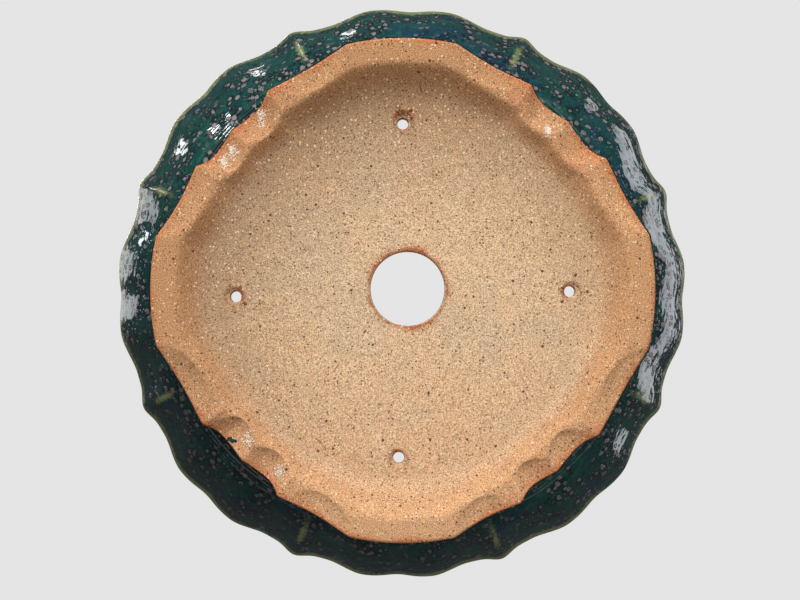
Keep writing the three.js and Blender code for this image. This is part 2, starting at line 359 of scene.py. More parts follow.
def lip_line(bowl):
    """The lip's surface from the shoulder out to its rolled edge and over to the inside of the wall."""
    outer = bowl.shoulder_radius + bowl.lip_overhang
    inner = outer - bowl.lip_width
    roll = arc(outer - bowl.lip_roll, POT_TOP - bowl.lip_roll, bowl.lip_roll, -25, 90, 11)
    inner_roll = arc(
        inner + bowl.lip_inner_roll, POT_TOP - bowl.lip_inner_roll, bowl.lip_inner_roll, 90, 170, 7
    )
    shoulder = np.array([bowl.shoulder_radius, LIP_SEAT])
    control = np.array([bowl.shoulder_radius + bowl.lip_overhang * 0.59, lerp(LIP_SEAT, POT_TOP, 0.42)])
    neck = bend(shoulder, control, roll[0], 10)
    top = stretch(roll[-1], inner_roll[0], 4)
    seat = np.array([bowl_inside(bowl, LIP_SEAT), LIP_SEAT])
    inner_side = stretch(inner_roll[-1], seat, 5)
    return np.concatenate([neck, roll[1:], top[1:], inner_roll[1:], inner_side[1:]])


def shares_of(line, bowl, petals):
    """How far each point follows the petals: less on the side that faces the soil."""
    inner = bowl.shoulder_radius + bowl.lip_overhang - bowl.lip_width
    outward = smoothstep(line[..., 0], inner, bowl.shoulder_radius)
    above_seat = line[..., 1] > LIP_SEAT
    inside = line[..., 0] < bowl_outside(bowl, np.minimum(line[..., 1], LIP_SEAT)) - bowl.wall_thickness / 2
    plain = np.where(above_seat, outward, np.where(inside, 0.0, 1.0))
    return petal_share(line[..., 1], petals) * lerp(petals.inside_share, 1, plain)


def wall_section(bowl):
    """The wall without its lip: its outside, and the inside down to the floor."""
    rising = np.linspace(FLOOR_TOP, LIP_SEAT, 16)
    falling = np.linspace(LIP_SEAT, FLOOR_TOP, 44)
    outside = column(bowl_outside(bowl, rising), rising)
    inside = column(bowl_inside(bowl, falling), falling)
    return np.concatenate([outside, inside])


def coil_section(bowl):
    """The coil: its back on the wall, and its smoothed, hollow face."""
    rising = np.linspace(FLOOR_TOP, FLOOR_TOP + bowl.coil_size, 8)
    back = column(bowl_inside(bowl, rising), rising)
    turn = np.linspace(0, np.pi / 2, 15)[1:]
    z = FLOOR_TOP + bowl.coil_size * (1 - np.sin(turn))
    hollow = bowl_inside(bowl, z) - bowl.coil_size * (1 - np.cos(turn))
    return np.concatenate([back, column(hollow, z)])


def ring_outline(bowl, foot):
    """At every bearing, the cut edge's height, its rounding and the radius at which the ring's face ends."""
    edge = ring_edge(foot, BEARINGS)
    toe = foot.toe_round * (1 - edge / FOOT_TOP)
    return edge, toe, skirt(bowl, foot, edge + toe) - toe


def ring_crest(bowl, foot):
    """At every bearing, the radius of the crest at which the ring's face meets the cove."""
    outline = ring_outline(bowl, foot)[2]
    return outline - lerp(foot.foot_face, foot.gap_face, into_gap(foot, BEARINGS))


# Corners of the foot ring's section: up its rounded toe, up the skirt, and across its underside
TOE_CORNERS = 7
SKIRT_CORNERS = 8
UNDERSIDE_CORNERS = 55

# How far the crest rounds over where the cut edge comes down to it, and a finger scoop into the cove
CREST_SOFTNESS = 0.4 * MM
SCOOP_SOFTNESS = 0.25 * MM

# How many times the cove is smoothed, and how deep a sponge left its marks on it
COVE_SMOOTHING = 14
SPONGE_MARKS = 0.12 * MM


def ring_sections(bowl, foot):
    """The foot ring's section at every bearing, from its toe up the skirt and back under the floor."""
    edge, toe, outline = (line[:, None] for line in ring_outline(bowl, foot))
    quarter = np.linspace(-np.pi / 2, 0, TOE_CORNERS)
    toe_radius = outline + toe * np.cos(quarter)
    toe_z = edge + toe * (1 + np.sin(quarter))
    skirt_z = lerp(toe_z[:, -1:], FOOT_TOP, np.linspace(0, 1, SKIRT_CORNERS + 1)[1:])
    skirt_radius = skirt(bowl, foot, skirt_z)
    radius = lerp(foot.cove_inside, outline, np.linspace(0, 1, UNDERSIDE_CORNERS + 1)[:-1])
    under = ring_underside(bowl, foot, radius)
    return np.stack(
        [
            np.concatenate([toe_radius, skirt_radius, radius], axis=1),
            np.concatenate([toe_z, skirt_z, under], axis=1),
        ],
        axis=2,
    )


def ring_underside(bowl, foot, radius):
    """Height of the ring's underside at every bearing: the cove down to the crest, and the finger scoops."""
    edge, _, outline = (line[:, None] for line in ring_outline(bowl, foot))
    level = (foot.crest_rise * into_gap(foot, BEARINGS) * cut_terms(BEARINGS)[1])[:, None]
    crest = -soft_max(-level, -edge, CREST_SOFTNESS)
    cove = ring_crest(bowl, foot)[:, None] - foot.cove_inside
    out = np.clip((radius - foot.cove_inside) / cove, 0, 1)
    turned = soften(lerp(FOOT_TOP, crest, out**foot.cove_hollow), COVE_SMOOTHING)
    depth = np.maximum(edge - crest, 0)
    reach = foot.scoop_reach * np.sqrt(depth / foot.scoop_depth) + 1e-9
    scooped = np.clip((outline - radius) / reach, 0, 1)
    scoop = edge - depth * (scooped**2 + 1 - np.sqrt(1 - scooped**2)) / 2
    touched = uneven_line(BEARINGS, 5, (3, 7, 11, 17, 23), SPONGE_MARKS)[:, None] * smoothstep(out, 0.2, 1)
    under = np.maximum(soft_max(turned, scoop, SCOOP_SOFTNESS) + np.abs(touched), 0)
    under[:, 0] = FOOT_TOP
    return under


# Heights, from the seat of the lip, between which the outside runs in one fair curve
FAIR_BELOW = 18 * MM
FAIR_ABOVE = 11.5 * MM


def fair(line):
    """Draws the outside in one curve across the seat of the lip, with its slope kept at both ends."""
    radius, z = line[:, 0], line[:, 1]
    low = np.searchsorted(z[: z.argmax()], LIP_SEAT - FAIR_BELOW)
    high = np.searchsorted(z[: z.argmax()], LIP_SEAT + FAIR_ABOVE)
    slopes = np.gradient(radius[: high + 2], z[: high + 2])
    rise = z[high] - z[low]
    up = (z[low : high + 1] - z[low]) / rise
    cubic = (2 * up**3 - 3 * up**2 + 1) * radius[low] + (3 * up**2 - 2 * up**3) * radius[high]
    ends = (up**3 - 2 * up**2 + up) * slopes[low] + (up**3 - up**2) * slopes[high]
    line = line.copy()
    line[low : high + 1, 0] = cubic + rise * ends
    return line


# Height above the waist up to which the wheel's lines show through the glaze, their depth, their pitch and
# the shorter pitch at which they fade and come back
WHEELED_HEIGHT = 12 * MM
WHEEL_DEPTH = 0.18 * MM
WHEEL_PITCH = 1.5 * MM
WHEEL_FADING = 0.61 * MM

# How much thicker the glaze gathers above its wiped end, how far from that end, and how broadly
GLAZE_BEAD = 0.3 * MM
BEAD_FROM_END = 0.7 * MM
BEAD_WIDTH = 0.8 * MM

# The coat's back has one corner for so many of its outside
BACK_SPACING = 4


def glazed_line(bowl, foot):
    """The clay line that the glaze covers at every bearing, from the toe to its end inside the bowl."""
    edge, toe, outline = (line[:, None] for line in ring_outline(bowl, foot))
    wiped = foot.wiped_from * (1 + uneven_line(BEARINGS, 11, (9, 14, 22, 31), 0.5)[:, None])
    turn = -wiped * np.array([1, 0.7, 0.4, 0.15])
    rising_z = lerp(edge + toe, FOOT_TOP, np.linspace(0, 1, 13) ** 1.6)  # closer together near the toe
    skirt_z = np.concatenate([edge + toe * (1 + np.sin(turn)), rising_z], axis=1)
    skirt_radius = np.concatenate([outline + toe * np.cos(turn), skirt(bowl, foot, rising_z)], axis=1)
    wheeled = FOOT_TOP + WHEELED_HEIGHT
    wall_z = np.concatenate(
        [np.linspace(FOOT_TOP, wheeled, 37)[1:], np.linspace(wheeled, LIP_SEAT, 17)[1:]]
    )
    falling = np.linspace(LIP_SEAT, LIP_SEAT - bowl.glaze_inside, 5)[1:]
    rising = column(bowl_outside(bowl, wall_z), wall_z)
    inside = column(bowl_inside(bowl, falling), falling)
    above = fair(np.concatenate([rising, lip_line(bowl)[1:], inside]))
    shape = (STEPS_ROUND, len(above))
    return np.stack(
        [
            np.concatenate([skirt_radius, np.broadcast_to(above[:, 0], shape)], axis=1),
            np.concatenate([skirt_z, np.broadcast_to(above[:, 1], shape)], axis=1),
        ],
        axis=2,
    )


def soften(lines, passes):
    """Rounds the corners of section lines, whose ends stay where they are."""
    for _ in range(passes):
        lines = lines.copy()
        lines[:, 1:-1] = (lines[:, :-2] + 2 * lines[:, 1:-1] + lines[:, 2:]) / 4
    return lines


def facings(lines):
    """The directions in which section lines face, to their right."""
    along = np.gradient(lines, axis=1)
    along = along / np.linalg.norm(along, axis=2, keepdims=True)
    return np.stack([along[..., 1], -along[..., 0]], axis=2)


def run_along(lines):
    """How far each point lies along its line."""
    steps = np.linalg.norm(np.diff(lines, axis=1), axis=2)
    return np.concatenate([np.zeros((len(lines), 1)), np.cumsum(steps, axis=1)], axis=1)


def glaze_sections(bowl, foot):
    """The coat at every bearing: its shining outside, and its back on the clay."""
    clay = glazed_line(bowl, foot)
    thickness = GLAZE_TOP - POT_TOP
    lines = soften(clay, 2)
    run = run_along(lines)
    from_end = np.minimum(run, run[:, -1:] - run)
    swell = np.sqrt(1 - (1 - np.clip(from_end / (1.3 * thickness), 0, 1)) ** 2)
    gathered = 1 + uneven_line(BEARINGS, 23, (6, 11, 19), 0.4)[:, None]
    bead = GLAZE_BEAD * gathered * np.exp(-(((run - BEAD_FROM_END) / BEAD_WIDTH) ** 2))
    depth = (thickness + bead) * swell - WHEEL_DEPTH * swell * wheel_lines(lines[..., 1], run)
    outside = lines + facings(lines) * depth[..., None]
    outside[..., 1] = np.minimum(outside[..., 1], GLAZE_TOP)
    back = clay[:, ::-BACK_SPACING]
    if (clay.shape[1] - 1) % BACK_SPACING:
        back = np.concatenate([back, clay[:, :1]], axis=1)
    return outside, back


def wheel_lines(z, run):
    """The wheel's lines round the waist, from 0 to 1, which fade out above it and at the glaze's end."""
    drift = uneven_line(BEARINGS, 21, (2, 5, 9), 1.6)[:, None]
    fading = 0.6 + 0.4 * np.sin(z / WHEEL_FADING + 2 * drift)
    lines = np.sin(2 * np.pi * z / WHEEL_PITCH + drift) * fading
    above_waist = (z - FOOT_TOP) / WHEELED_HEIGHT
    shown = smoothstep(above_waist, -0.3, 0.1) * smoothstep(above_waist, 1, 0.4)
    return (1 + lines) / 2 * shown * smoothstep(run, 0.5 * MM, 2 * MM)


# Meshes


def revolve(sections):
    """Corners and faces of sections that are carried once round the axis and closed on themselves."""
    corners = sections.shape[1]
    x = sections[..., 0] * np.cos(BEARINGS)[:, None]
    y = sections[..., 0] * np.sin(BEARINGS)[:, None]
    points = np.stack([x, y, sections[..., 1]], axis=2).reshape(-1, 3)
    here, corner = np.meshgrid(np.arange(STEPS_ROUND), np.arange(corners), indexing="ij")
    following = (here + 1) % STEPS_ROUND
    after = (corner + 1) % corners
    faces = np.stack(
        [
            here * corners + corner,
            following * corners + corner,
            following * corners + after,
            here * corners + after,
        ],
        axis=2,
    )
    return points, faces.reshape(-1, 4).tolist()


def make_object(name, points, faces, attributes):
    """A smooth-shaded object with a number on each corner for every named attribute."""
    mesh = bpy.data.meshes.new(name)
    mesh.from_pydata(points.tolist(), [], faces)
    for label, values in attributes.items():
        set_number(mesh, label, values)
    mesh.shade_smooth()
    mesh.update()
    piece = bpy.data.objects.new(name, mesh)
    bpy.context.scene.collection.objects.link(piece)
    return piece


def set_number(mesh, label, values):
    """Gives every corner of a mesh a number under a name."""
    layer = mesh.attributes.new(label, "FLOAT", "POINT")
    layer.data.foreach_set("value", np.asarray(values, np.float32).ravel())


def finish_piece(piece, slot, *nodes):
    """Keeps the creases, hangs the piece on the body and hides the imported parts that it replaces."""
    piece.data.set_sharp_from_angle(angle=CREASE_ANGLE)
    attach(piece, BODY)
    if nodes:
        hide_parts(*nodes)


def bake_tree(piece, tree, inputs):
    """Runs a geometry tree on a piece and keeps the result as its plain mesh."""
    modifier = piece.modifiers.new(tree.name, "NODES")
    modifier.node_group = tree
    for item in tree.interface.items_tree:
        if item.item_type == "SOCKET" and item.in_out == "INPUT" and item.name in inputs:
            modifier[item.identifier] = inputs[item.name]
    evaluated = piece.evaluated_get(bpy.context.evaluated_depsgraph_get())
    made = bpy.data.meshes.new_from_object(evaluated)
    plain = piece.data
    piece.modifiers.remove(modifier)
    piece.data = made
    made.name = piece.name
    bpy.data.meshes.remove(plain)


# Node trees, filled from Python expressions


class Graph:
    """A node tree to which nodes are added by type, settings and socket values."""

    def __init__(self, tree):
        self.tree = tree

    def add(self, kind, settings, sockets, output=0):
        """Adds a node, sets it up, fills its sockets, and gives one of its outputs."""
        node = self.tree.nodes.new(kind)
        for name, value in settings.items():
            setattr(node, name, value)
        for name, value in sockets.items():
            if isinstance(value, Term):
                self.tree.links.new(value.socket, node.inputs[name])
            else:
                node.inputs[name].default_value = value
        return Term(self, node.outputs[output]) if node.outputs else node

    def blend(self, factor, first, second, mode="MIX"):
        """Mixes two colours."""
        settings = {"data_type": "RGBA", "blend_type": mode, "clamp_factor": True}
        return self.add("ShaderNodeMix", settings, {0: factor, 6: first, 7: second}, 2)

    def vector(self, operation, *values):
        """Vector Math on colours, points or directions."""
        return self.add("ShaderNodeVectorMath", {"operation": operation}, dict(enumerate(values)))

    def ramp(self, value, low, high, kind="SMOOTHSTEP"):
        """0 where the value is low, 1 where it is high; low may be the larger."""
        sockets = {"Value": value, "From Min": low, "From Max": high}
        return self.add("ShaderNodeMapRange", {"interpolation_type": kind, "clamp": True}, sockets)


class Term:
    """An output socket. Its operators add Math nodes."""

    def __init__(self, graph, socket):
        self.graph = graph
        self.socket = socket

    def other(self, output):
        """Another output of the same node."""
        return Term(self.graph, self.socket.node.outputs[output])

    def math(self, operation, *values):
        return self.graph.add("ShaderNodeMath", {"operation": operation}, dict(enumerate(values)))

    def __add__(self, value):
        return self.math("ADD", self, value)

    def __sub__(self, value):
        return self.math("SUBTRACT", self, value)

    def __rsub__(self, value):
        return self.math("SUBTRACT", value, self)

    def __mul__(self, value):
        return self.math("MULTIPLY", self, value)

    def __truediv__(self, value):
        return self.math("DIVIDE", self, value)

    def __rtruediv__(self, value):
        return self.math("DIVIDE", value, self)

    def __pow__(self, value):
        return self.math("POWER", self, value)

    def __neg__(self):
        return self.math("MULTIPLY", self, -1.0)

    __radd__ = __add__
    __rmul__ = __mul__

    def exp(self):
        return self.math("EXPONENT", self)

    def abs(self):
        return self.math("ABSOLUTE", self)

    def modulo(self, value):
        return self.math("FLOORED_MODULO", self, value)

    def least(self, value):
        return self.math("MINIMUM", self, value)

    def most(self, value):
        return self.math("MAXIMUM", self, value)


def opaque(rgb):
    """A colour as its socket takes it."""
    return (*rgb, 1.0)


def new_geometry_tree(name, inputs):
    """A geometry tree with the named inputs; each is a socket type and a name."""
    tree = bpy.data.node_groups.new(name, "GeometryNodeTree")
    tree.interface.new_socket("Geometry", in_out="INPUT", socket_type="NodeSocketGeometry")
    for label, kind in inputs:
        tree.interface.new_socket(label, in_out="INPUT", socket_type=kind)
    tree.interface.new_socket("Geometry", in_out="OUTPUT", socket_type="NodeSocketGeometry")
    graph = Graph(tree)
    source = graph.add("NodeGroupInput", {}, {})
    return graph, lambda label: source.other(label)


def close_tree(graph, geometry, material):
    """Ends a geometry tree with real geometry in one material."""
    real = graph.add("GeometryNodeRealizeInstances", {}, {"Geometry": geometry})
    coated = graph.add("GeometryNodeSetMaterial", {}, {"Geometry": real, "Material": material})
    output = graph.tree.nodes.new("NodeGroupOutput")
    graph.tree.links.new(coated.socket, output.inputs[0])
    return graph.tree


def read_number(graph, label):
    """A number that the mesh carries under a name."""
    return graph.add("GeometryNodeInputNamedAttribute", {"data_type": "FLOAT"}, {"Name": label})


FLOAT = "NodeSocketFloat"

PETAL_INPUTS = (
    ("Petals", FLOAT),
    ("Rib drop", FLOAT),
    ("Rib height", FLOAT),
    ("Flute depth", FLOAT),
    ("Flute angle", FLOAT),
    ("Swell angle", FLOAT),
    ("Dip angle", FLOAT),
    ("Rib angle", FLOAT),
    ("Material", "NodeSocketMaterial"),
)


def petal_tree():
    """Presses a plain round piece into petals, by the bearing and the share that its corners carry."""
    graph, given = new_geometry_tree("Petals", PETAL_INPUTS)
    bearing = read_number(graph, "petal_bearing")
    follows = read_number(graph, "petal_share")
    pitch = 2 * math.pi / given("Petals")
    from_middle = ((bearing + pitch * 0.5).modulo(pitch) - pitch * 0.5).abs()
    from_rib = pitch * 0.5 - from_middle
    fall_back = given("Rib drop") * graph.ramp(from_middle, given("Swell angle"), given("Dip angle"))
    flute = given("Flute depth") * (-((from_middle / given("Flute angle")) ** 2.0)).exp()
    rib = given("Rib height") * (-((from_rib / given("Rib angle")) ** 2.0)).exp()
    reach = (rib - fall_back - flute) * follows
    position = graph.add("GeometryNodeInputPosition", {}, {})
    flat = graph.vector("MULTIPLY", position, (1.0, 1.0, 0.0))
    outward = graph.vector("NORMALIZE", flat)
    push = graph.add("ShaderNodeVectorMath", {"operation": "SCALE"}, {0: outward, "Scale": reach})
    moved = graph.add("GeometryNodeSetPosition", {}, {"Geometry": given("Geometry"), "Offset": push})
    return close_tree(graph, moved, given("Material"))


GRAIN_INPUTS = (("Seed", "NodeSocketInt"), ("Flatness", FLOAT), ("Material", "NodeSocketMaterial"))


def grain_tree():
    """Sets a turned and stretched grain on every point, as large as the point says."""
    graph, given = new_geometry_tree("Grains", GRAIN_INPUTS)
    ball = graph.add("GeometryNodeMeshIcoSphere", {}, {"Radius": 1.0, "Subdivisions": 2})
    position = graph.add("GeometryNodeInputPosition", {}, {})
    lumps = graph.add("ShaderNodeTexNoise", {}, {"Vector": position, "Scale": 1.1, "Detail": 1.0})
    growth = {0: position, "Scale": lumps * 1.6 - 0.8}
    swollen = graph.add("ShaderNodeVectorMath", {"operation": "SCALE"}, growth)
    lumpy = graph.add("GeometryNodeSetPosition", {}, {"Geometry": ball, "Offset": swollen})
    smooth = graph.add("GeometryNodeSetShadeSmooth", {}, {"Geometry": lumpy})
    ranges = {0: (0.7, 0.7, 0.7), 1: (1.3, 1.3, 1.3), "Seed": given("Seed")}
    form = graph.add("FunctionNodeRandomValue", {"data_type": "FLOAT_VECTOR"}, ranges)
    turns = {0: (0.0, 0.0, 0.0), 1: (0.0, 0.0, 2 * math.pi), "Seed": given("Seed")}
    turn = graph.add("FunctionNodeRandomValue", {"data_type": "FLOAT_VECTOR"}, turns)
    size = read_number(graph, "size")
    flat = graph.add("ShaderNodeCombineXYZ", {}, {"X": size, "Y": size, "Z": size * given("Flatness")})
    sockets = {
        "Points": given("Geometry"),
        "Instance": smooth,
        "Rotation": turn,
        "Scale": graph.vector("MULTIPLY", flat, form),
    }
    grains = graph.add("GeometryNodeInstanceOnPoints", {}, sockets)
    return close_tree(graph, grains, given("Material"))


def press_petals(piece, petals, material):
    """Runs the petal tree on a round piece."""
    inputs = {
        "Petals": float(petals.count),
        "Rib drop": petals.rib_drop,
        "Rib height": petals.rib_height,
        "Flute depth": petals.flute_depth,
        "Flute angle": petals.flute_angle,
        "Swell angle": petals.swell_angle,
        "Dip angle": petals.dip_angle,
        "Rib angle": petals.rib_angle,
        "Material": material,
    }
    bake_tree(piece, bpy.data.node_groups.get("Petals") or petal_tree(), inputs)


# Materials


def new_material(name):
    """A material with a principled surface, and the graph and coordinates to paint it with."""
    material = bpy.data.materials.new(name)
    material.use_nodes = True
    graph = Graph(material.node_tree)
    surface = material.node_tree.nodes["Principled BSDF"]
    coordinates = graph.add("ShaderNodeTexCoord", {}, {}, "Object")
    return material, graph, surface, coordinates


def noise(graph, coordinates, size, detail=2.0, roughness=0.5, distortion=0.0):
    """Soft random patches about as large as size, from 0 to 1 round a half."""
    sockets = {
        "Vector": coordinates,
        "Scale": 1 / size,
        "Detail": detail,
        "Roughness": roughness,
        "Distortion": distortion,
    }
    return graph.add("ShaderNodeTexNoise", {"noise_dimensions": "3D"}, sockets)


def dots(graph, coordinates, spacing, radius, kept, softness=0.35):
    """Round dots of mixed sizes, and how many of its own radii each point lies from its dot's middle.

    The radius is a share of the spacing, and kept is the share of cells that hold a dot.
    """
    sockets = {"Vector": coordinates, "Scale": 1 / spacing, "Randomness": 1.0}
    cells = graph.add("ShaderNodeTexVoronoi", {"voronoi_dimensions": "3D"}, sockets)
    picks = graph.add("ShaderNodeSeparateColor", {}, {0: cells.other("Color")})
    away = cells / ((picks.other(1) * 0.7 + 0.5) * radius)
    here = graph.ramp(picks, 1 - kept, 1.001 - kept, "LINEAR")
    return graph.ramp(away, 1 + softness, 1 - softness) * here, away + (1 - here) * 9


def corner_number(graph, label):
    """A number that the piece's corners carry under a name."""
    return graph.add("ShaderNodeAttribute", {"attribute_name": label}, {}, "Fac")


def shade(graph, sockets, surface):
    """Fills the principled surface's sockets."""
    for name, value in sockets.items():
        if isinstance(value, Term):
            graph.tree.links.new(value.socket, surface.inputs[name])
        else:
            surface.inputs[name].default_value = value


# Scratches and pits under the pot: middle along X and Y, half length and half width in millimetres, and
# bearing in degrees
MARKS = (
    (7.5, -83.6, 3.2, 0.3, 68),
    (-34.8, 62.2, 2.6, 0.22, 38),
    (-32.2, 65.2, 1.4, 0.22, 66),
    (-35.1, 66.4, 0.8, 0.75, 0),
    (-27.5, 31.8, 3.4, 0.18, 122),
    (79.3, -42.9, 1.1, 0.35, 75),
    (78.2, -23.8, 1.5, 0.3, 20),
)
MARK_HEIGHT = 7 * MM

# Sizes of the drift of the clay's colour, of its patches, and of its coarse and fine grain
CLAY_DRIFT = 50 * MM
CLAY_PATCHES = 13 * MM
CLAY_COARSE = 2.4 * MM
CLAY_SAND = 0.45 * MM

# What the warmer grains of the sand are tinged by, and their size
WARM_SAND = (1.02, 0.97, 0.88, 1.0)
WARM_GRAIN = 0.7 * MM

# Grog, small specks and large specks: spacing, radius as a share of it, and share of cells that hold one
GROG = (1.5 * MM, 0.25, 0.45)
SMALL_SPECKS = (1.4 * MM, 0.25, 0.4)
LARGE_SPECKS = (3.9 * MM, 0.13, 0.5)


def clay_material(name, finish, body_colour):
    """Stoneware with iron specks and pale grog, flashed where the piece's own numbers say so."""
    material, graph, surface, place = new_material(name)
    coarse = noise(graph, place, CLAY_COARSE, 3.0, 0.6)
    sand = noise(graph, place, CLAY_SAND, 1.0, 0.6)
    body = fired_clay(graph, place, finish, body_colour, coarse)
    sandy = (1.07 + (sand - 0.5) * 3.0 + (coarse - 0.5) * 0.3).most(0.3)
    body = graph.blend(1.0, body, sandy, "MULTIPLY")
    tinged = graph.ramp(noise(graph, place, WARM_GRAIN, 1.0), 0.38, 0.62)
    body = graph.blend(tinged * 0.6, body, WARM_SAND, "MULTIPLY")
    pale, _ = dots(graph, place, *GROG)
    small, _ = dots(graph, place, *SMALL_SPECKS)
    large, _ = dots(graph, place, *LARGE_SPECKS)
    body = graph.blend(pale * 0.85, body, opaque(finish.grog))
    body = graph.blend(small * 0.85, body, opaque(finish.speck))
    body = graph.blend(large * 0.95, body, opaque(finish.speck))
    for mark in MARKS:
        body = graph.blend(mark_term(graph, place, *mark) * 0.8, body, opaque(finish.speck))
    wet = graph.ramp(corner_number(graph, "glassy") * (sand * 4.0 - 1.2), 0.35, 0.6)
    body = graph.blend(wet * 0.3, body, opaque(finish.grog))
    height = sand * 0.6 + coarse * 0.6 + pale * 0.4 - small * 0.3 - large * 0.7
    relief = graph.add("ShaderNodeBump", {}, {"Strength": 0.6, "Distance": 0.22 * MM, "Height": height})
    sockets = {
        "Base Color": body,
        "Roughness": 0.92 - wet * 0.7,
        "Normal": relief,
        "Specular IOR Level": 0.3,
    }
    shade(graph, sockets, surface)
    return material


def fired_clay(graph, place, finish, body_colour, coarse):
    """The clay's colour as the fire left it: warm towards +Y, flashed and rusty.

    It also carries painted shade, darker towards the foot ring and on the -X and -Y sides.
    """
    labels = ("browned", "flash", "warm", "rust")
    browned, flash, warm, rust = (corner_number(graph, label) for label in labels)
    x = graph.add("ShaderNodeSeparateXYZ", {}, {0: place})
    y = x.other(1)
    broad = noise(graph, place, CLAY_DRIFT)
    patches = noise(graph, place, CLAY_PATCHES, 3.0)
    towards_fire = graph.ramp(y + (broad - 0.5) * 0.10, 0.0, 0.10)
    warmth = (towards_fire * 0.68 + warm * 0.7 + (patches - 0.5) * 0.5).least(1.0)
    cool = graph.ramp(broad + (patches - 0.5) * 0.5, 0.6, 0.35)
    body = graph.blend(cool, opaque(body_colour), opaque(finish.grey))
    body = graph.blend(browned, body, opaque(finish.brown))
    body = graph.blend(warmth * (1 - browned * 0.5), body, opaque(finish.peach))
    # Painted shade: darker towards the foot ring and on the -X and -Y sides, deepest nearest the ring there
    ringward = ((x * x + y * y) * 6.2).least(0.034)
    painted_shade_measure = ringward - x * 0.16 - y * 0.29 + (broad - 0.5) * 0.02
    painted_shade = graph.ramp(painted_shade_measure, 0.0, 0.062)
    body = graph.blend(painted_shade * (1 - browned * 0.6), body, opaque(finish.painted_shade_tint), "MULTIPLY")
    deepest_painted_shade = graph.ramp(painted_shade_measure, 0.044, 0.068)
    body = graph.blend(deepest_painted_shade * (1 - browned * 0.8) * 0.5, body, opaque(finish.painted_shade_tint), "MULTIPLY")
    flashed = graph.ramp(flash * (patches * 3.0 - 0.55) + (coarse - 0.5) * 0.8 * flash, 0.08, 0.95)
    body = graph.blend(flashed * 0.85, body, opaque(finish.flash))
    rusty = graph.ramp(rust + (coarse - 0.5) * 1.1 * rust, 0.12, 0.95)
    return graph.blend(rusty * 0.85, body, opaque(finish.rust))


def mark_term(graph, place, x, y, half_length, half_width, bearing):
    """1 in a scratch or pit, and 0 outside it."""
    sockets = {
        "Vector": place,
        "Location": (x * MM, y * MM, FOOT_TOP),
        "Rotation": (0.0, 0.0, math.radians(bearing)),
        "Scale": (half_length * MM, half_width * MM, MARK_HEIGHT),
    }
    local = graph.add("ShaderNodeMapping", {"vector_type": "TEXTURE"}, sockets)
    away = graph.add("ShaderNodeVectorMath", {"operation": "LENGTH"}, {0: local}, 1)
    return graph.ramp(away, 1.1, 0.6)


def spatter_material(name, finish):
    """Beads of ash glass, which mirror the lamps."""
    material, graph, surface, place = new_material(name)
    tone = graph.ramp(noise(graph, place, 0.6 * MM, 2.0, 0.7), 0.3, 0.5)
    body = graph.blend(tone, opaque(finish.flash), opaque(finish.ash))
    sockets = {"Base Color": body, "Roughness": 0.08 + tone * 0.1, "Specular IOR Level": 1.0}
    shade(graph, sockets, surface)
    return material


# Sizes of the drift of the glaze's colour, of its clouds, its mottle, its finest grain and its ripples
GLAZE_DRIFT = 36 * MM
GLAZE_CLOUDS = 8 * MM
GLAZE_MOTTLE = 1.5 * MM
GLAZE_GRAIN = 0.6 * MM
GLAZE_RIPPLES = 6 * MM

# Size of a cluster of crystals, of the wobble in their outlines, and how far it shifts them
CLUSTERS = 13 * MM
WOBBLE = 1.1 * MM
WOBBLE_SHIFT = 0.9 * MM

# Crystals and freckles: spacing, radius as a share of it, share of cells that hold one, and softness
CRYSTALS = (3.0 * MM, 0.36, 0.9, 0.22)
FRECKLES = (1.6 * MM, 0.28, 0.7, 0.3)


def glaze_material(name, finish):
    """Teal glaze with clusters of pale crystals, which breaks to yellow green where it is thin."""
    material, graph, surface, place = new_material(name)
    thin = corner_number(graph, "thin")
    run_down = graph.vector("MULTIPLY", place, (1.0, 1.0, 0.5))
    broad = noise(graph, place, GLAZE_DRIFT)
    clouds = noise(graph, place, GLAZE_CLOUDS, 4.0, 0.6, 0.6)
    mottle = noise(graph, run_down, GLAZE_MOTTLE, 4.0, 0.65)
    fine = noise(graph, place, GLAZE_GRAIN)

    blueness = graph.ramp(broad + (clouds - 0.5) * 0.5, 0.46, 0.66)
    body = graph.blend(blueness * 0.8, opaque(finish.teal), opaque(finish.blue))
    body = graph.blend(graph.ramp(clouds, 0.48, 0.7) * 0.8, body, opaque(finish.green))
    depth = 0.25 + mottle * 1.2 + (clouds - 0.5) * 0.8
    x = graph.add("ShaderNodeSeparateXYZ", {}, {0: place})
    y = x.other(1)
    # Painted shade: the glaze is darkened on the +Y and -X side
    side_painted_shade = graph.ramp(y * 0.75 - x * 0.65 + (broad - 0.5) * 0.08, -0.02, 0.11)
    # Darker where the glaze pools above the toe, partly as painted shade in the groove between ring and wall
    pooled_and_painted_shade = graph.ramp(thin, -0.1, -0.8)
    # The glaze's own depth, the painted shade on the +Y and -X side and the darker pool above the toe
    # multiply its colour
    light = depth.most(0.15) * (1 - side_painted_shade * 0.4) * (1 - pooled_and_painted_shade * 0.7)
    body = graph.blend(1.0, body, light, "MULTIPLY")
    body, crystals, dust = crystallised(graph, place, run_down, body, finish, fine, side_painted_shade)

    ragged = (mottle - 0.5) * 1.2 + (clouds - 0.5) * 1.0
    broken = graph.ramp(thin + ragged * graph.ramp(thin, 0.0, 0.3), 0.12, 0.8)
    body = graph.blend(broken * 0.8, body, opaque(finish.thin))
    ripple = noise(graph, place, GLAZE_RIPPLES, 1.0)
    height = crystals * 1.1 + dust * 0.5 + ripple * 1.6 + fine * 0.03
    relief = graph.add("ShaderNodeBump", {}, {"Strength": 0.7, "Distance": 0.3 * MM, "Height": height})
    sockets = {
        "Base Color": body,
        "Roughness": 0.05 + broken * 0.14 + crystals * 0.3,
        "Normal": relief,
        "Specular IOR Level": 0.6,
    }
    shade(graph, sockets, surface)
    return material


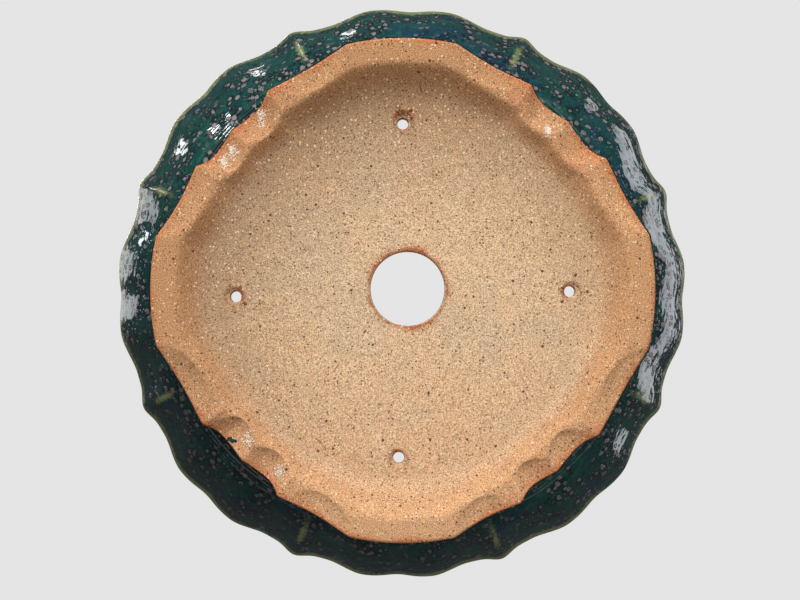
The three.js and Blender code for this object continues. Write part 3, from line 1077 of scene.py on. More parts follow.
def crystallised(graph, place, run_down, body, finish, fine, side_painted_shade):
    """The glaze's colour with crystals and freckles in dark rings, and where the two kinds are."""
    clusters = graph.ramp(noise(graph, place, CLUSTERS, 3.0), 0.38, 0.54)
    wobble = graph.vector("SUBTRACT", noise(graph, place, WOBBLE).other("Color"), (0.5, 0.5, 0.5))
    shift = graph.vector("MULTIPLY", wobble, (WOBBLE_SHIFT, WOBBLE_SHIFT, WOBBLE_SHIFT))
    warped = graph.vector("ADD", run_down, shift)
    spots, from_spot = dots(graph, warped, *CRYSTALS)
    freckles, from_freckle = dots(graph, warped, *FRECKLES)
    halo = graph.ramp(from_spot, 2.7, 1.15) * clusters
    small_halo = graph.ramp(from_freckle, 2.4, 1.0) * (0.25 + clusters * 0.75)
    body = graph.blend(halo.most(small_halo) * 0.85, body, opaque(finish.halo))
    crystals = spots * (0.1 + clusters * 0.9)
    dust = freckles * (0.2 + clusters * 0.6)
    # Freckles and crystals are dimmed by the painted shade on the +Y and -X side too
    body = graph.blend(dust * (0.5 - side_painted_shade * 0.2), body, opaque(finish.spot))
    body = graph.blend(crystals * (0.15 + fine - side_painted_shade * 0.35), body, opaque(finish.spot))
    return body, crystals, dust


def material_of(context, key):
    """The pot's materials, each made once."""
    clay, glaze = context.scene.pot_clay, context.scene.pot_glaze
    makers = {
        "fired_buff_clay": (clay_material, clay, clay.buff),
        "flashed_foot_clay": (clay_material, clay, clay.buff),
        "rusty_crumbs": (clay_material, clay, clay.rust),
        "ash_glass": (spatter_material, clay),
        "crystal_teal_glaze": (glaze_material, glaze),
    }
    maker, *settings = makers[key]
    return bpy.data.materials.get(key) or maker(key, *settings)


# Pieces


# How unevenly the wall settled in the kiln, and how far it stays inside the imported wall
SETTLING = 0.35 * MM
SETTLED_INSIDE = 0.3 * MM


class PieceOperator:
    """What the operators of the pot's pieces share."""

    bl_options = {"REGISTER", "UNDO"}

    def round_piece(self, context, name, sections, material):
        """A revolved piece that is pressed into petals."""
        scene = context.scene
        points, faces = revolve(sections)
        shares = shares_of(sections, scene.pot_bowl, scene.pot_petals)
        settle = uneven_line(BEARINGS, 3, (1, 2, 3, 5), SETTLING)
        settle = settle - settle.max() - SETTLED_INSIDE
        radius = np.hypot(points[:, 0], points[:, 1])
        drawn_in = (settle[:, None] * petal_share(sections[..., 1], scene.pot_petals)).ravel()
        points[:, :2] *= (1 + drawn_in / radius)[:, None]
        bearing = petal_bearing(BEARINGS, scene.pot_petals.count)
        attributes = {
            "petal_share": shares,
            "petal_bearing": np.broadcast_to(bearing[:, None], shares.shape),
        }
        piece = make_object(name, points, faces, attributes)
        press_petals(piece, scene.pot_petals, material)
        return piece


class POT_OT_clay_wall(PieceOperator, bpy.types.Operator):
    """Builds the petalled wall, the coil in its corner and the core of the lip"""

    bl_idname = "bonsai_pot.clay_wall"
    bl_label = "Clay wall"

    def execute(self, context):
        bowl = context.scene.pot_bowl
        clay = material_of(context, "fired_buff_clay")
        pieces = (
            ("petalled_wall", wall_section(bowl), "bowl_wall"),
            ("smoothed_coil", coil_section(bowl), "seam_coil"),
            ("lip_core", lip_line(bowl), "rim_lip"),
        )
        for name, section, node in pieces:
            sections = np.broadcast_to(section, (STEPS_ROUND, *section.shape))
            piece = self.round_piece(context, name, sections, clay)
            finish_piece(piece, "buff_clay", node)
        return {"FINISHED"}


class POT_OT_glaze_coat(PieceOperator, bpy.types.Operator):
    """Builds the coat of glaze, from the wiped toe over the lip to its end inside"""

    bl_idname = "bonsai_pot.glaze_coat"
    bl_label = "Glaze coat"

    def execute(self, context):
        outside, back = glaze_sections(context.scene.pot_bowl, context.scene.pot_foot)
        sections = np.concatenate([outside, back], axis=1)
        glaze = material_of(context, "crystal_teal_glaze")
        piece = self.round_piece(context, "glaze_skin", sections, glaze)
        set_number(piece.data, "thin", how_thin(context.scene, sections))
        finish_piece(piece, "teal_glaze", "glaze_coat")
        return {"FINISHED"}


# Where the lip's edge breaks: how far in from its outermost line, and how far above its seat
LIP_BREAKS = (3.4 * MM, 0.8 * MM)
LIP_BREAKS_ABOVE = (3 * MM, 10 * MM)

# Where a rib breaks: half the width of its line, its height above the waist and how far it fades from there
RIB_LINE = math.radians(0.9)
RIB_BREAKS_AT = 20 * MM
RIB_FADES = 13 * MM

# Heights above the foot ring's cut edge between which the glaze thickens and is painted darker, as pooled
# # glaze and as painted shade in the groove between the ring and the wall
POOLED_SHADE_HEIGHTS = (7 * MM, 2.6 * MM)


def how_thin(scene, sections):
    """1 where the glaze breaks, on the lip's edge and low on the ribs, and -1 where it gathers at the toe.

    The glaze is painted darker where it gathers: pooled glaze, and painted shade in the groove between ring
    and wall.
    """
    bowl, petals = scene.pot_bowl, scene.pot_petals
    radius, z = sections[..., 0], sections[..., 1]
    outer = bowl.shoulder_radius + bowl.lip_overhang
    lip_edge = smoothstep(radius - outer, -LIP_BREAKS[0], -LIP_BREAKS[1])
    lip_edge = lip_edge * smoothstep(z - LIP_SEAT, *LIP_BREAKS_ABOVE)
    bearing = petal_bearing(BEARINGS, petals.count)
    from_rib = np.pi / petals.count - from_nearest(bearing, petals.count)
    ridge = np.exp(-((from_rib / RIB_LINE) ** 2))[:, None]
    low_on_wall = np.exp(-(((z - FOOT_TOP - RIB_BREAKS_AT) / RIB_FADES) ** 2))
    uneven_run = 0.75 + uneven_line(BEARINGS, 31, (5, 9, 13, 21), 0.35)[:, None]
    thin = np.maximum(lip_edge * np.clip(uneven_run, 0.3, 1), ridge * low_on_wall * 0.7)
    above_toe = z - ring_edge(scene.pot_foot, BEARINGS)[:, None]
    return thin - smoothstep(above_toe, *POOLED_SHADE_HEIGHTS)


class POT_OT_foot_ring(PieceOperator, bpy.types.Operator):
    """Builds the foot ring with its four cloud feet"""

    bl_idname = "bonsai_pot.foot_ring"
    bl_label = "Foot ring"

    def execute(self, context):
        bowl, foot = context.scene.pot_bowl, context.scene.pot_foot
        sections = ring_sections(bowl, foot)
        points, faces = revolve(sections)
        plan = points[:, :2].reshape(sections.shape)
        attributes = fired_ring(bowl, foot, sections[..., 0], plan)
        piece = make_object("cloud_foot_ring", points, faces, attributes)
        piece.data.materials.append(material_of(context, "flashed_foot_clay"))
        finish_piece(piece, "flashed_clay", "foot_ring")
        return {"FINISHED"}


# On the foot ring: how far the flash reaches in from the edge, the turn past a foot's flat from which the
# # scoops are flashed, how far from the crest they begin, how far in from it the clay is warm, and how broad
# # the darker, rust-coloured band round the middle of the cove is
EDGE_FLASH = 1.7 * MM
FLASHED_PAST_FOOT = 0.06
SCOOPS_BEGIN = 1.5 * MM
WARM_BEHIND_CREST = 9 * MM
COVE_BAND = 5 * MM


def fired_ring(bowl, foot, radius, plan):
    """How the fire marked the ring: browned underneath, flashed on its edge and in its scoops, and glassy."""
    outline = ring_outline(bowl, foot)[2][:, None]
    crest = ring_crest(bowl, foot)[:, None]
    near_edge = np.exp(-np.clip(outline - radius, 0, 1) / EDGE_FLASH)
    turn, _ = cut_terms(BEARINGS)
    in_gap = smoothstep(turn, foot.foot_angle + FLASHED_PAST_FOOT, foot.haunch_angle)[:, None]
    scooped = in_gap * smoothstep(radius, crest - SCOOPS_BEGIN, crest + SCOOPS_BEGIN)
    cove_middle = lerp(foot.cove_inside, crest, 0.6)
    glassy = sum(
        np.exp(-((np.linalg.norm(plan - place, axis=2) / (0.8 * spread)) ** 2))
        for place, spread in spatter_places()
    )
    return {
        "browned": smoothstep(radius, foot.cove_inside, crest - 1 * MM),
        "flash": np.clip(near_edge * 0.62 + scooped * 0.28, 0, 1),
        "warm": smoothstep(radius, crest - WARM_BEHIND_CREST, crest) * 0.4 + scooped * 0.5,
        # A darker, rust-coloured band round the middle of the cove
        "rust": 0.3 * np.exp(-(((radius - cove_middle) / COVE_BAND) ** 2)),
        "glassy": np.clip(glassy, 0, 1),
    }


# Wire holes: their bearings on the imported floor, the bearing from each one's middle at which its burr was
# pushed up, in degrees, and how much of one there is
WIRE_BEARINGS = (0.3, 91.4, 177.9, 270)
BURR_BEARINGS = (190, 235, 330, 275)
BURR_SHARES = (0.6, 0.5, 0.6, 1.0)

# The drain was cut a little off the middle
DRAIN_OFFSET = (2 * MM, -0.8 * MM)

# Corners round the drain and round each wire hole, and how much wider a wire hole is at its mouth
DRAIN_STEPS = 120
WIRE_STEPS = 40
WIRE_FLARE = 0.3 * MM


class POT_OT_floor_slab(PieceOperator, bpy.types.Operator):
    """Builds the floor with its drain and its four wire holes"""

    bl_idname = "bonsai_pot.floor_slab"
    bl_label = "Floor slab"

    def execute(self, context):
        scene = context.scene
        bowl, holes = scene.pot_bowl, scene.pot_holes
        wire_mouth = holes.wire_radius + WIRE_FLARE
        mouths = [(Vector(DRAIN_OFFSET), holes.drain_radius + holes.drain_edge, DRAIN_STEPS)]
        mouths += [(centre, wire_mouth, WIRE_STEPS) for centre in wire_centres(holes)]
        plan, triangles, rings = floor_plan(bowl, mouths)
        points, faces, attributes = floor_solid(scene, plan, triangles, rings, mouths)
        piece = make_object("turned_floor", points, faces, attributes)
        piece.data.materials.append(material_of(context, "fired_buff_clay"))
        finish_piece(piece, "buff_clay", "floor_slab")
        return {"FINISHED"}


def wire_centres(holes):
    """Middles of the wire holes."""
    turns = [math.radians(bearing) for bearing in WIRE_BEARINGS]
    return [Vector((math.cos(turn), math.sin(turn))) * holes.wire_circle for turn in turns]


def circle(centre, radius, steps):
    """Points evenly round a centre."""
    turn = np.arange(steps) * (2 * np.pi / steps)
    return np.column_stack([centre[0] + radius * np.cos(turn), centre[1] + radius * np.sin(turn)])


def hexagonal(centre, reach, spacing):
    """Evenly set points over a square round a centre."""
    points = []
    for index, y in enumerate(np.arange(-reach, reach, spacing * math.sqrt(3) / 2)):
        x = np.arange(-reach, reach, spacing) + (index % 2) * spacing / 2
        points.append(np.column_stack([centre[0] + x, np.full_like(x, centre[1] + y)]))
    return np.concatenate(points)


# Distances between the corners of the floor, on its plain and near a hole's mouth
FLOOR_SPACING = 1.7 * MM
MOUTH_SPACING = 0.65 * MM

# How far past a mouth its rings of corners lie, from where to where the closer corners reach, and where the
# plain begins
MOUTH_RINGS = (0, 0.25 * MM, 0.6 * MM, 1.0 * MM, 1.5 * MM, 2.1 * MM)
CLOSE_FROM = 2.6 * MM
CLOSE_TO = 6 * MM
PLAIN_FROM = 6.6 * MM


def floor_plan(bowl, mouths):
    """Corners and triangles of the floor's plan, and the rings of corners at its edge and at each mouth."""
    reach = bowl.waist_radius
    grid = hexagonal((0, 0), reach, FLOOR_SPACING)
    keep = np.hypot(grid[:, 0], grid[:, 1]) < reach - 0.7 * FLOOR_SPACING
    patches = []
    for centre, radius, _ in mouths:
        away = np.hypot(grid[:, 0] - centre[0], grid[:, 1] - centre[1])
        keep &= away > radius + PLAIN_FROM
        patch = hexagonal(centre, radius + CLOSE_TO, MOUTH_SPACING)
        away = np.hypot(patch[:, 0] - centre[0], patch[:, 1] - centre[1])
        patches.append(patch[(away > radius + CLOSE_FROM) & (away < radius + CLOSE_TO)])
    plan = [circle((0, 0), reach, STEPS_ROUND)]
    rings = [np.arange(STEPS_ROUND)]
    total = STEPS_ROUND
    for centre, radius, steps in mouths:
        rings.append(total + np.arange(steps))
        for past in MOUTH_RINGS:
            plan.append(circle(centre, radius + past, steps))
            total += steps
    plan = np.concatenate([*plan, *patches, grid[keep]])
    borders = [pair for ring in rings for pair in zip(ring.tolist(), np.roll(ring, -1).tolist())]
    found = delaunay_2d_cdt([Vector(place) for place in plan.tolist()], borders, [], 0, 1e-9)
    triangles = np.array(found[2])
    middles = plan[triangles].mean(axis=1)
    inside = np.ones(len(triangles), bool)
    for centre, radius, steps in mouths:
        nearest = radius * math.cos(math.pi / steps)
        inside &= np.hypot(middles[:, 0] - centre[0], middles[:, 1] - centre[1]) > nearest
    triangles = triangles[inside]
    a, b, c = (plan[triangles[:, i]] for i in range(3))
    turned = (b[:, 0] - a[:, 0]) * (c[:, 1] - a[:, 1]) - (b[:, 1] - a[:, 1]) * (c[:, 0] - a[:, 0]) < 0
    triangles[turned] = triangles[turned][:, ::-1]
    return plan, triangles, rings


def leaning(centre, lean):
    """A point that lies further out than a hole's centre."""
    centre = np.array(centre)
    return centre * (1 + lean / np.linalg.norm(centre))


# How uneven the turning left the floor's two faces: wavelength and height
TURNED_UNDER = (26 * MM, 0.16 * MM)
TURNED_OVER = (22 * MM, 0.2 * MM)

# Ridge of a burr: how far past its dimple, and how broad
BURR_PAST = 0.3 * MM
BURR_WIDTH = 0.8 * MM

# Radius from which the floor's upper face widens, and how far its edge stays inside the wall's outside
WIDENS_FROM = 86 * MM
EDGE_INSIDE = 1.2 * MM


def open_floor(foot, radius):
    """1 on the open floor, and 0 where the foot ring is luted to it."""
    return smoothstep(radius, foot.cove_inside - 1 * MM, foot.cove_inside - 9 * MM)


def floor_underside(scene, x, y):
    """Height of the floor's underside, with the dimples and burrs of its wire holes."""
    holes = scene.pot_holes
    turned = np.abs(uneven_surface(x, y, 41, *TURNED_UNDER))
    low = FOOT_TOP + turned * open_floor(scene.pot_foot, np.hypot(x, y))
    for centre, burr, part in zip(wire_centres(holes), BURR_BEARINGS, BURR_SHARES):
        dimple = leaning(centre, holes.crater_lean)
        away = np.hypot(x - dimple[0], y - dimple[1])
        bearing = np.arctan2(y - centre[1], x - centre[0])
        side = np.clip(np.cos(bearing - math.radians(burr)), 0, 1) ** 1.5
        ragged = 0.6 + 0.4 * np.cos(7 * bearing + burr)
        ridge = np.exp(-(((away - holes.crater_radius - BURR_PAST) / BURR_WIDTH) ** 2))
        heap = ridge * (0.3 + side) * ragged
        hollow = 1 - smoothstep(away, holes.wire_radius * 0.8, holes.crater_radius)
        low = low + holes.crater_depth * hollow - holes.burr_height * part * heap
    return low


def floor_upper_face(scene, x, y):
    """The floor's upper face over its plan, widened at its edge to where the petalled wall stands on it."""
    bowl, petals = scene.pot_bowl, scene.pot_petals
    radius = np.hypot(x, y)
    turned = np.abs(uneven_surface(x, y, 43, *TURNED_OVER))
    z = FLOOR_TOP - turned * open_floor(scene.pot_foot, radius)
    even = petal_bearing(np.arctan2(y, x) % (2 * np.pi), petals.count)
    from_middle = from_nearest(even, petals.count)
    drop = petals.rib_drop * smoothstep(from_middle, petals.swell_angle, petals.dip_angle)
    pressed = petal_share(FLOOR_TOP, petals) * (drop + petals.flute_depth)
    edge = bowl_outside(bowl, FLOOR_TOP) - EDGE_INSIDE - pressed
    widen = 1 + (edge / bowl.waist_radius - 1) * smoothstep(radius, WIDENS_FROM, bowl.waist_radius)
    return np.column_stack([x * widen, y * widen, z])


# From the drain's edge: how far the flash reaches, the paler flash past it, and the rust
DRAIN_FLASH = 1.8 * MM
DRAIN_PALE_FLASH = 5 * MM
DRAIN_RUST = 1.2 * MM

# At a wire hole: the rusty border inside its dimple's rim and its width, the rust over the dimple, and the
# rust past it on the burr's side and its width
BORDER_INSIDE = 0.6 * MM
BORDER_WIDTH = 1.1 * MM
DIMPLE_RUST = 3.8 * MM
BURR_RUST = 5.5 * MM
BURR_RUST_WIDTH = 2.5 * MM


def fired_floor(holes, x, y, mouths):
    """How flashed and how rusty the floor's underside is, round the drain and at the burrs."""
    drain, drain_mouth, _ = mouths[0]
    from_drain = np.maximum(np.hypot(x - drain[0], y - drain[1]) - drain_mouth, 0)
    bearing = np.arctan2(y - drain[1], x - drain[0])
    patchy = 0.75 + 0.5 * uneven_line(bearing, 61, (2, 3, 5, 9, 14), 0.6)
    flash = 0.75 * np.exp(-from_drain / DRAIN_FLASH) + 0.14 * np.exp(-from_drain / DRAIN_PALE_FLASH)
    flash = flash * patchy
    rust = 0.75 * np.exp(-from_drain / DRAIN_RUST) * patchy
    for (centre, _, _), burr, part in zip(mouths[1:], BURR_BEARINGS, BURR_SHARES):
        dimple = leaning(centre, holes.crater_lean)
        away = np.hypot(x - dimple[0], y - dimple[1])
        towards_burr = np.cos(np.arctan2(y - centre[1], x - centre[0]) - math.radians(burr))
        side = np.clip(towards_burr, 0, 1) ** 1.5
        border = np.exp(-(((away - holes.crater_radius + BORDER_INSIDE) / BORDER_WIDTH) ** 2))
        rust = rust + border * (0.42 + 0.3 * side * part) + 0.22 * np.exp(-((away / DIMPLE_RUST) ** 4))
        rust = rust + 0.4 * part * side * np.exp(-(((away - BURR_RUST) / BURR_RUST_WIDTH) ** 2))
    return flash, rust


# How the fire marked the walls of the holes
HOLE_WALL = {"flash": 0.45, "rust": 0.5, "warm": 0.3}


def floor_solid(scene, plan, triangles, rings, mouths):
    """The floor's underside, its upper face, its edge and the walls of its holes."""
    x, y = plan[:, 0], plan[:, 1]
    low = floor_underside(scene, x, y)
    upper = floor_upper_face(scene, x, y)
    flash, rust = fired_floor(scene.pot_holes, x, y, mouths)
    numbers = {"flash": [flash, flash * 0.4], "rust": [rust, rust * 0.5], "warm": [0 * x, 0 * x + 0.1]}
    count = len(plan)
    points = [np.column_stack([plan, low]), upper]
    faces = [triangles[:, ::-1].tolist(), (triangles + count).tolist()]
    edge, following = rings[0], np.roll(rings[0], -1)
    faces.append(np.column_stack([edge, following, following + count, edge + count]).tolist())
    total = 2 * count
    for ring, (centre, mouth, steps), wall in zip(rings[1:], mouths, hole_walls(scene.pot_holes)):
        levels = [ring]
        for inward, above, below in wall:
            z = low[ring] + above if below is None else upper[ring, 2] - below
            points.append(np.column_stack([circle(centre, mouth - inward, steps), z]))
            levels.append(total + np.arange(steps))
            total += steps
            for label, value in HOLE_WALL.items():
                numbers[label].append(np.full(steps, value))
        levels.append(ring + count)
        for under, over in zip(levels, levels[1:]):
            next_under, next_over = np.roll(under, -1), np.roll(over, -1)
            faces.append(np.column_stack([next_under, under, over, next_over]).tolist())
    attributes = {label: np.concatenate(values) for label, values in numbers.items()}
    attributes["glassy"] = np.zeros(total)
    return np.concatenate(points), [face for group in faces for face in group], attributes


def hole_walls(holes):
    """Each hole's wall by levels: how far inside its mouth, and above the underside or below the top."""
    turns = np.linspace(0, np.pi / 2, 5)[1:]
    corner = [(holes.drain_edge * math.sin(turn), holes.drain_edge * (1 - math.cos(turn))) for turn in turns]
    drain = [(inward, above, None) for inward, above in corner]
    drain += [(inward, 0, below) for inward, below in reversed(corner)]
    wire = [
        (0.25 * MM, 0.5 * MM, None),
        (WIRE_FLARE, 1.2 * MM, None),
        (WIRE_FLARE, 0, 1.0 * MM),
        (0.15 * MM, 0, 0.2 * MM),
    ]
    return [drain] + [wire] * len(WIRE_BEARINGS)


# Larger crumbs beside each wire hole: from its centre along X and Y, and their sizes, in millimetres, and
# how many small ones lie there besides
CRUMBS = (
    ((-3.2, -1.5, 0.6), (-3.2, 4.2, 0.6), (7.3, 0.0, 0.55), (8.6, 1.5, 0.45), (2.4, -7.0, 0.45)),
    ((-1.7, -3.8, 0.6), (-3.7, -2.1, 0.5), (2.7, 6.2, 0.5), (4.4, 6.8, 0.6), (-0.8, 7.9, 0.5)),
    ((1.95, -4.15, 0.55), (3.9, 2.7, 0.7), (-0.2, 6.3, 0.6)),
    (
        (-1.9, -6.7, 1.0),
        (-2.3, -5.6, 0.8),
        (3.3, -5.4, 0.75),
        (3.5, -2.6, 0.5),
        (-1.1, -4.4, 0.5),
        (4.0, 1.2, 0.45),
    ),
)
SMALL_CRUMBS = 22

# Beads of ash glass at the ends of the finger scoops: bearing in degrees, radius and spread in millimetres,
# and how many beads each patch has
SPATTER = (
    (135.9, 88.5, 1.9),
    (124.2, 90.4, 1.7),
    (230.9, 92.6, 2.0),
    (219.3, 90.9, 2.1),
    (215.6, 91.0, 1.5),
    (312.2, 89.2, 1.2),
)
BEADS = 110

# Drops of glaze that ran over the ring's edge: bearing in degrees, then radius and size in millimetres
DRIPS = ((138.6, 93.8, 0.9), (139.4, 94.2, 0.9), (138.0, 93.0, 0.6))

# How far a grain's middle hangs below the clay, as a share of half its height
HANGS_OUT = 0.3


def polar(bearing, radius):
    """A point of the plan, from degrees and millimetres."""
    turn = math.radians(bearing)
    return np.array([math.cos(turn), math.sin(turn)]) * radius * MM


def spatter_places():
    """The middle of each patch of beads, and how far it spreads."""
    return [(polar(bearing, radius), spread * MM) for bearing, radius, spread in SPATTER]


class POT_OT_grains(PieceOperator, bpy.types.Operator):
    """Sets the crumbs at the wire holes, the beads of ash glass and the drops of glaze on the ring"""

    bl_idname = "bonsai_pot.grains"
    bl_label = "Grains and drops"

    def execute(self, context):
        scene = context.scene
        random = np.random.default_rng(71)
        crumbs = []
        for centre, larger in zip(wire_centres(scene.pot_holes), CRUMBS):
            crumbs += [(centre[0] + x * MM, centre[1] + y * MM, size * MM) for x, y, size in larger]
            for _ in range(SMALL_CRUMBS):
                away, turn = random.uniform(3.4, 8.5) * MM, random.uniform(0, 2 * np.pi)
                size = random.uniform(0.1, 0.3) * MM
                crumbs.append((centre[0] + away * math.cos(turn), centre[1] + away * math.sin(turn), size))
        crumbs = np.array(crumbs)
        under = floor_underside(scene, crumbs[:, 0], crumbs[:, 1])
        self.strew(context, "hole_crumbs", crumbs, under, 0.6, "rusty_crumbs", "buff_clay")

        beads = []
        for middle, spread in spatter_places():
            places = middle + random.normal(0, spread, (BEADS, 2)) * (0.55, 0.95)
            beads.append(np.column_stack([places, random.uniform(0.14, 0.34, BEADS) * MM]))
        beads = np.concatenate(beads)
        under = under_ring(scene, beads)
        self.strew(context, "ash_glass_beads", beads, under, 0.7, "ash_glass", "flashed_clay")

        drips = np.array([(*polar(bearing, radius), size * MM) for bearing, radius, size in DRIPS])
        under = under_ring(scene, drips)
        self.strew(context, "glaze_drips", drips, under, 0.55, "crystal_teal_glaze", "teal_glaze")
        return {"FINISHED"}

    def strew(self, context, name, grains, under, flatness, material, slot):
        """Sets grains on an underside, given their places and sizes and the clay's height at each."""
        size = grains[:, 2]
        points = np.column_stack([grains[:, :2], under - HANGS_OUT * flatness * size])
        piece = make_object(name, points, [], {"size": size})
        inputs = {"Seed": 7, "Flatness": flatness, "Material": material_of(context, material)}
        bake_tree(piece, bpy.data.node_groups.get("Grains") or grain_tree(), inputs)
        finish_piece(piece, slot)


def under_ring(scene, grains):
    """Height of the foot ring's underside at each grain."""
    sections = ring_sections(scene.pot_bowl, scene.pot_foot)[:, TOE_CORNERS + SKIRT_CORNERS :]
    heights = []
    for x, y, _ in grains:
        section = sections[round(math.atan2(y, x) / (2 * math.pi) * STEPS_ROUND) % STEPS_ROUND]
        heights.append(np.interp(math.hypot(x, y), section[:, 0], section[:, 1]))
    return np.array(heights)


class POT_OT_stage(bpy.types.Operator):
    """Sets up the floor, the lamps, the backdrop and the camera"""

    bl_idname = "bonsai_pot.stage"
    bl_label = "Stage"

    def execute(self, context):
        settings = context.scene.pot_stage
        make_ground(settings)
        make_backdrop(context.scene, settings)
        for lamp in LAMPS:
            make_lamp(*lamp)
        make_camera(context.scene, settings)
        context.scene.view_settings.view_transform = "Standard"
        return {"FINISHED"}


# Half the width of the studio's floor, its paint, and the distances over which it fades into the backdrop
GROUND_HALF = 6.0
GROUND_PAINT = (0.72, 0.71, 0.69, 1.0)
GROUND_FADES = (0.25, 1.6)

# Tint of the soft light from all round
SOFT_TINT = (1.04, 0.98, 0.91)


def make_ground(settings):
    """A pale floor that is seen from above only, takes the pot's shadow and throws none."""
    half = GROUND_HALF
    corners = np.array([(-half, -half, 0), (half, -half, 0), (half, half, 0), (-half, half, 0)])
    ground = make_object("studio_floor", corners, [(0, 1, 2, 3)], {})
    material = bpy.data.materials.new("studio_floor_paint")
    material.use_nodes = True
    graph = Graph(material.node_tree)
    nodes = material.node_tree.nodes
    place = graph.add("ShaderNodeTexCoord", {}, {}, "Object")
    away = graph.add("ShaderNodeVectorMath", {"operation": "LENGTH"}, {0: place}, 1)
    diffuse = graph.add("ShaderNodeBsdfDiffuse", {}, {"Color": GROUND_PAINT})
    far = graph.add("ShaderNodeEmission", {}, {"Color": grey_of(settings.pale)})
    faded = graph.ramp(away, *GROUND_FADES)
    paint = graph.add("ShaderNodeMixShader", {}, {0: faded, 1: diffuse, 2: far})
    clear = graph.add("ShaderNodeBsdfTransparent", {}, {})
    back = graph.add("ShaderNodeNewGeometry", {}, {}, "Backfacing")
    both = graph.add("ShaderNodeMixShader", {}, {0: back, 1: paint, 2: clear})
    graph.tree.links.new(both.socket, nodes["Material Output"].inputs["Surface"])
    nodes.remove(nodes["Principled BSDF"])
    ground.data.materials.append(material)
    material.cycles.emission_sampling = "NONE"
    ground.visible_shadow = False
    ground.visible_diffuse = False


def make_backdrop(scene, settings):
    """A pale backdrop, dark flags above the horizon that the glaze mirrors, and soft light all round."""
    world = bpy.data.worlds.new("studio")
    world.use_nodes = True
    scene.world = world
    graph = Graph(world.node_tree)
    nodes = world.node_tree.nodes
    direction = graph.add("ShaderNodeTexCoord", {}, {}, "Generated")
    height = graph.add("ShaderNodeSeparateXYZ", {}, {0: direction}).other(2)
    path = graph.add("ShaderNodeLightPath", {}, {}, "Is Camera Ray")
    mirrored = path.other("Is Glossy Ray")
    flags = graph.ramp(height + mirrored * 0.4, 0.12, 0.32) * graph.ramp(height, 0.955, 0.925)
    seen = graph.blend(flags, grey_of(settings.pale), grey_of(settings.flag))
    shown = path.most(mirrored).most(path.other("Is Transmission Ray"))
    soft_light = opaque(channel * settings.ambient for channel in SOFT_TINT)
    tone = graph.blend(shown, soft_light, seen)
    background = graph.add("ShaderNodeBackground", {}, {"Color": tone, "Strength": 1.0})
    graph.tree.links.new(background.socket, nodes["World Output"].inputs["Surface"])


def grey_of(brightness):
    """A grey as its socket takes it."""
    return (brightness, brightness, brightness, 1.0)


# Lamps: name, where it stands, what it faces, width and height in metres, power in watts, and colour
LAMPS = (
    ("key_below", (-0.35, -1.25, -1.05), (0, 0, 0), 0.75, 0.75, 26, (1.0, 0.98, 0.95)),
    ("fill_below", (0.9, -0.6, -1.2), (0, 0, 0), 0.9, 0.9, 4, (1.0, 0.98, 0.95)),
    ("key_above", (-0.1, -0.2, 2.0), (0, 0, 0.03), 0.7, 0.7, 26, (1.0, 0.98, 0.95)),
    ("upper_left_lamp", (-0.93, -0.88, 0.44), (-0.07, -0.07, 0.03), 0.07, 0.07, 0.6, (1.0, 0.99, 1.0)),
    ("top_strip", (-0.38, -0.98, 0.82), (-0.04, -0.1, 0.03), 0.04, 0.4, 0.25, (1.0, 0.99, 1.0)),
    ("left_strip", (-0.95, -0.43, 0.82), (-0.1, -0.05, 0.03), 0.04, 0.4, 0.25, (1.0, 0.99, 1.0)),
    ("right_panel", (0.92, -0.13, 0.92), (0.1, 0, 0.03), 1.15, 0.29, 1.7, (0.93, 0.94, 1.0)),
    ("left_panel", (-0.8, -0.12, 1.0), (-0.1, 0, 0.03), 0.26, 0.36, 0.4, (0.97, 0.98, 1.0)),
)


def make_lamp(name, place, target, width, height, power, tint):
    """An area lamp that faces its target and that the camera doesn't see."""
    light = bpy.data.lights.new(name, "AREA")
    light.shape = "RECTANGLE"
    light.size, light.size_y = width, height
    light.energy = power
    light.color = tint
    lamp = bpy.data.objects.new(name, light)
    bpy.context.scene.collection.objects.link(lamp)
    lamp.location = place
    lamp.rotation_mode = "QUATERNION"
    lamp.rotation_quaternion = (Vector(target) - Vector(place)).to_track_quat("-Z", "Y")
    lamp.visible_camera = False


# The foot ring's middle, from the middle of an image of 800 by 600, to the right and up
MIDDLE_AT = (3, 10)
IMAGE_WIDTH = 800
SENSOR_WIDTH = 36


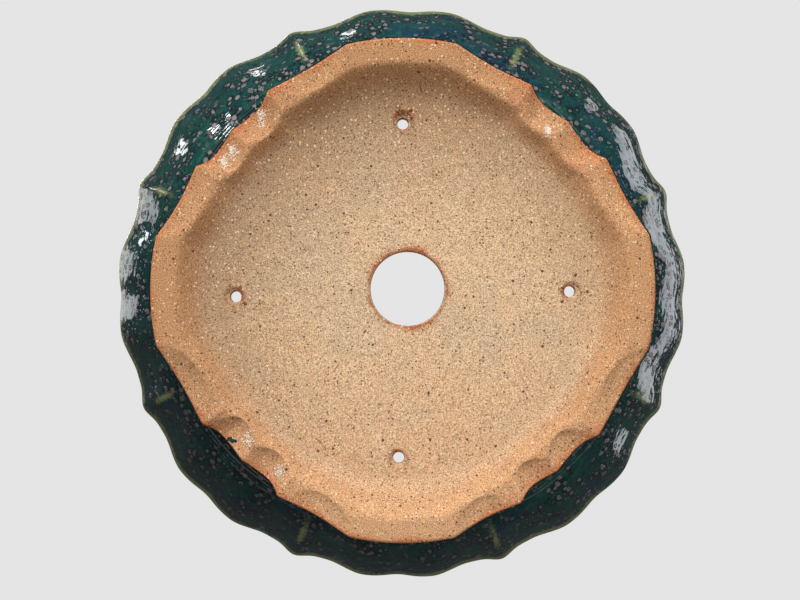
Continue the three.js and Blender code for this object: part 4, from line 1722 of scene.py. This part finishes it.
def make_camera(scene, settings):
    """Looks up at the pot's underside, with -Y at the top of the image and +X to the right."""
    data = bpy.data.cameras.new("camera")
    data.sensor_width = SENSOR_WIDTH
    data.lens = settings.lens
    data.clip_start, data.clip_end = 0.01, 20
    camera = bpy.data.objects.new("camera", data)
    scene.collection.objects.link(camera)
    camera.location = (settings.aside, -settings.above, -settings.distance)
    focal = settings.lens / SENSOR_WIDTH * IMAGE_WIDTH
    upright = Matrix(((1, 0, 0), (0, -1, 0), (0, 0, -1)))
    ray = upright @ Vector((MIDDLE_AT[0] / focal, MIDDLE_AT[1] / focal, -1))
    turn = ray.rotation_difference(-camera.location)
    camera.rotation_mode = "QUATERNION"
    camera.rotation_quaternion = turn @ upright.to_quaternion()
    scene.camera = camera


class POT_PT_sidebar(bpy.types.Panel):
    """Lists the pot's pieces in the order in which they are made"""

    bl_idname = "POT_PT_sidebar"
    bl_label = "Bonsai pot"
    bl_space_type = "VIEW_3D"
    bl_region_type = "UI"
    bl_category = "Bonsai pot"

    def draw(self, context):
        for operator in PIECES:
            self.layout.operator(operator.bl_idname)
        for label in SETTINGS:
            group = getattr(context.scene, label)
            box = self.layout.box()
            box.label(text=label.replace("pot_", "").capitalize())
            for name in group.bl_rna.properties.keys():
                if name not in {"rna_type", "name"}:
                    box.prop(group, name)


SETTINGS = {
    "pot_bowl": BowlSizes,
    "pot_petals": PetalSizes,
    "pot_foot": FootSizes,
    "pot_holes": HoleSizes,
    "pot_clay": ClayFinish,
    "pot_glaze": GlazeFinish,
    "pot_stage": StageSettings,
}
PIECES = (
    POT_OT_floor_slab,
    POT_OT_clay_wall,
    POT_OT_foot_ring,
    POT_OT_glaze_coat,
    POT_OT_grains,
    POT_OT_stage,
)
CLASSES = (*SETTINGS.values(), *PIECES, POT_PT_sidebar)


def register():
    for cls in CLASSES:
        bpy.utils.register_class(cls)
    for label, group in SETTINGS.items():
        setattr(bpy.types.Scene, label, bpy.props.PointerProperty(type=group))


def unregister():
    for label in SETTINGS:
        delattr(bpy.types.Scene, label)
    for cls in reversed(CLASSES):
        bpy.utils.unregister_class(cls)


def main():
    """Builds the pot and its stage."""
    register()
    for operator in PIECES:
        group, name = operator.bl_idname.split(".")
        getattr(getattr(bpy.ops, group), name)()


if __name__ == "__main__":
    main()
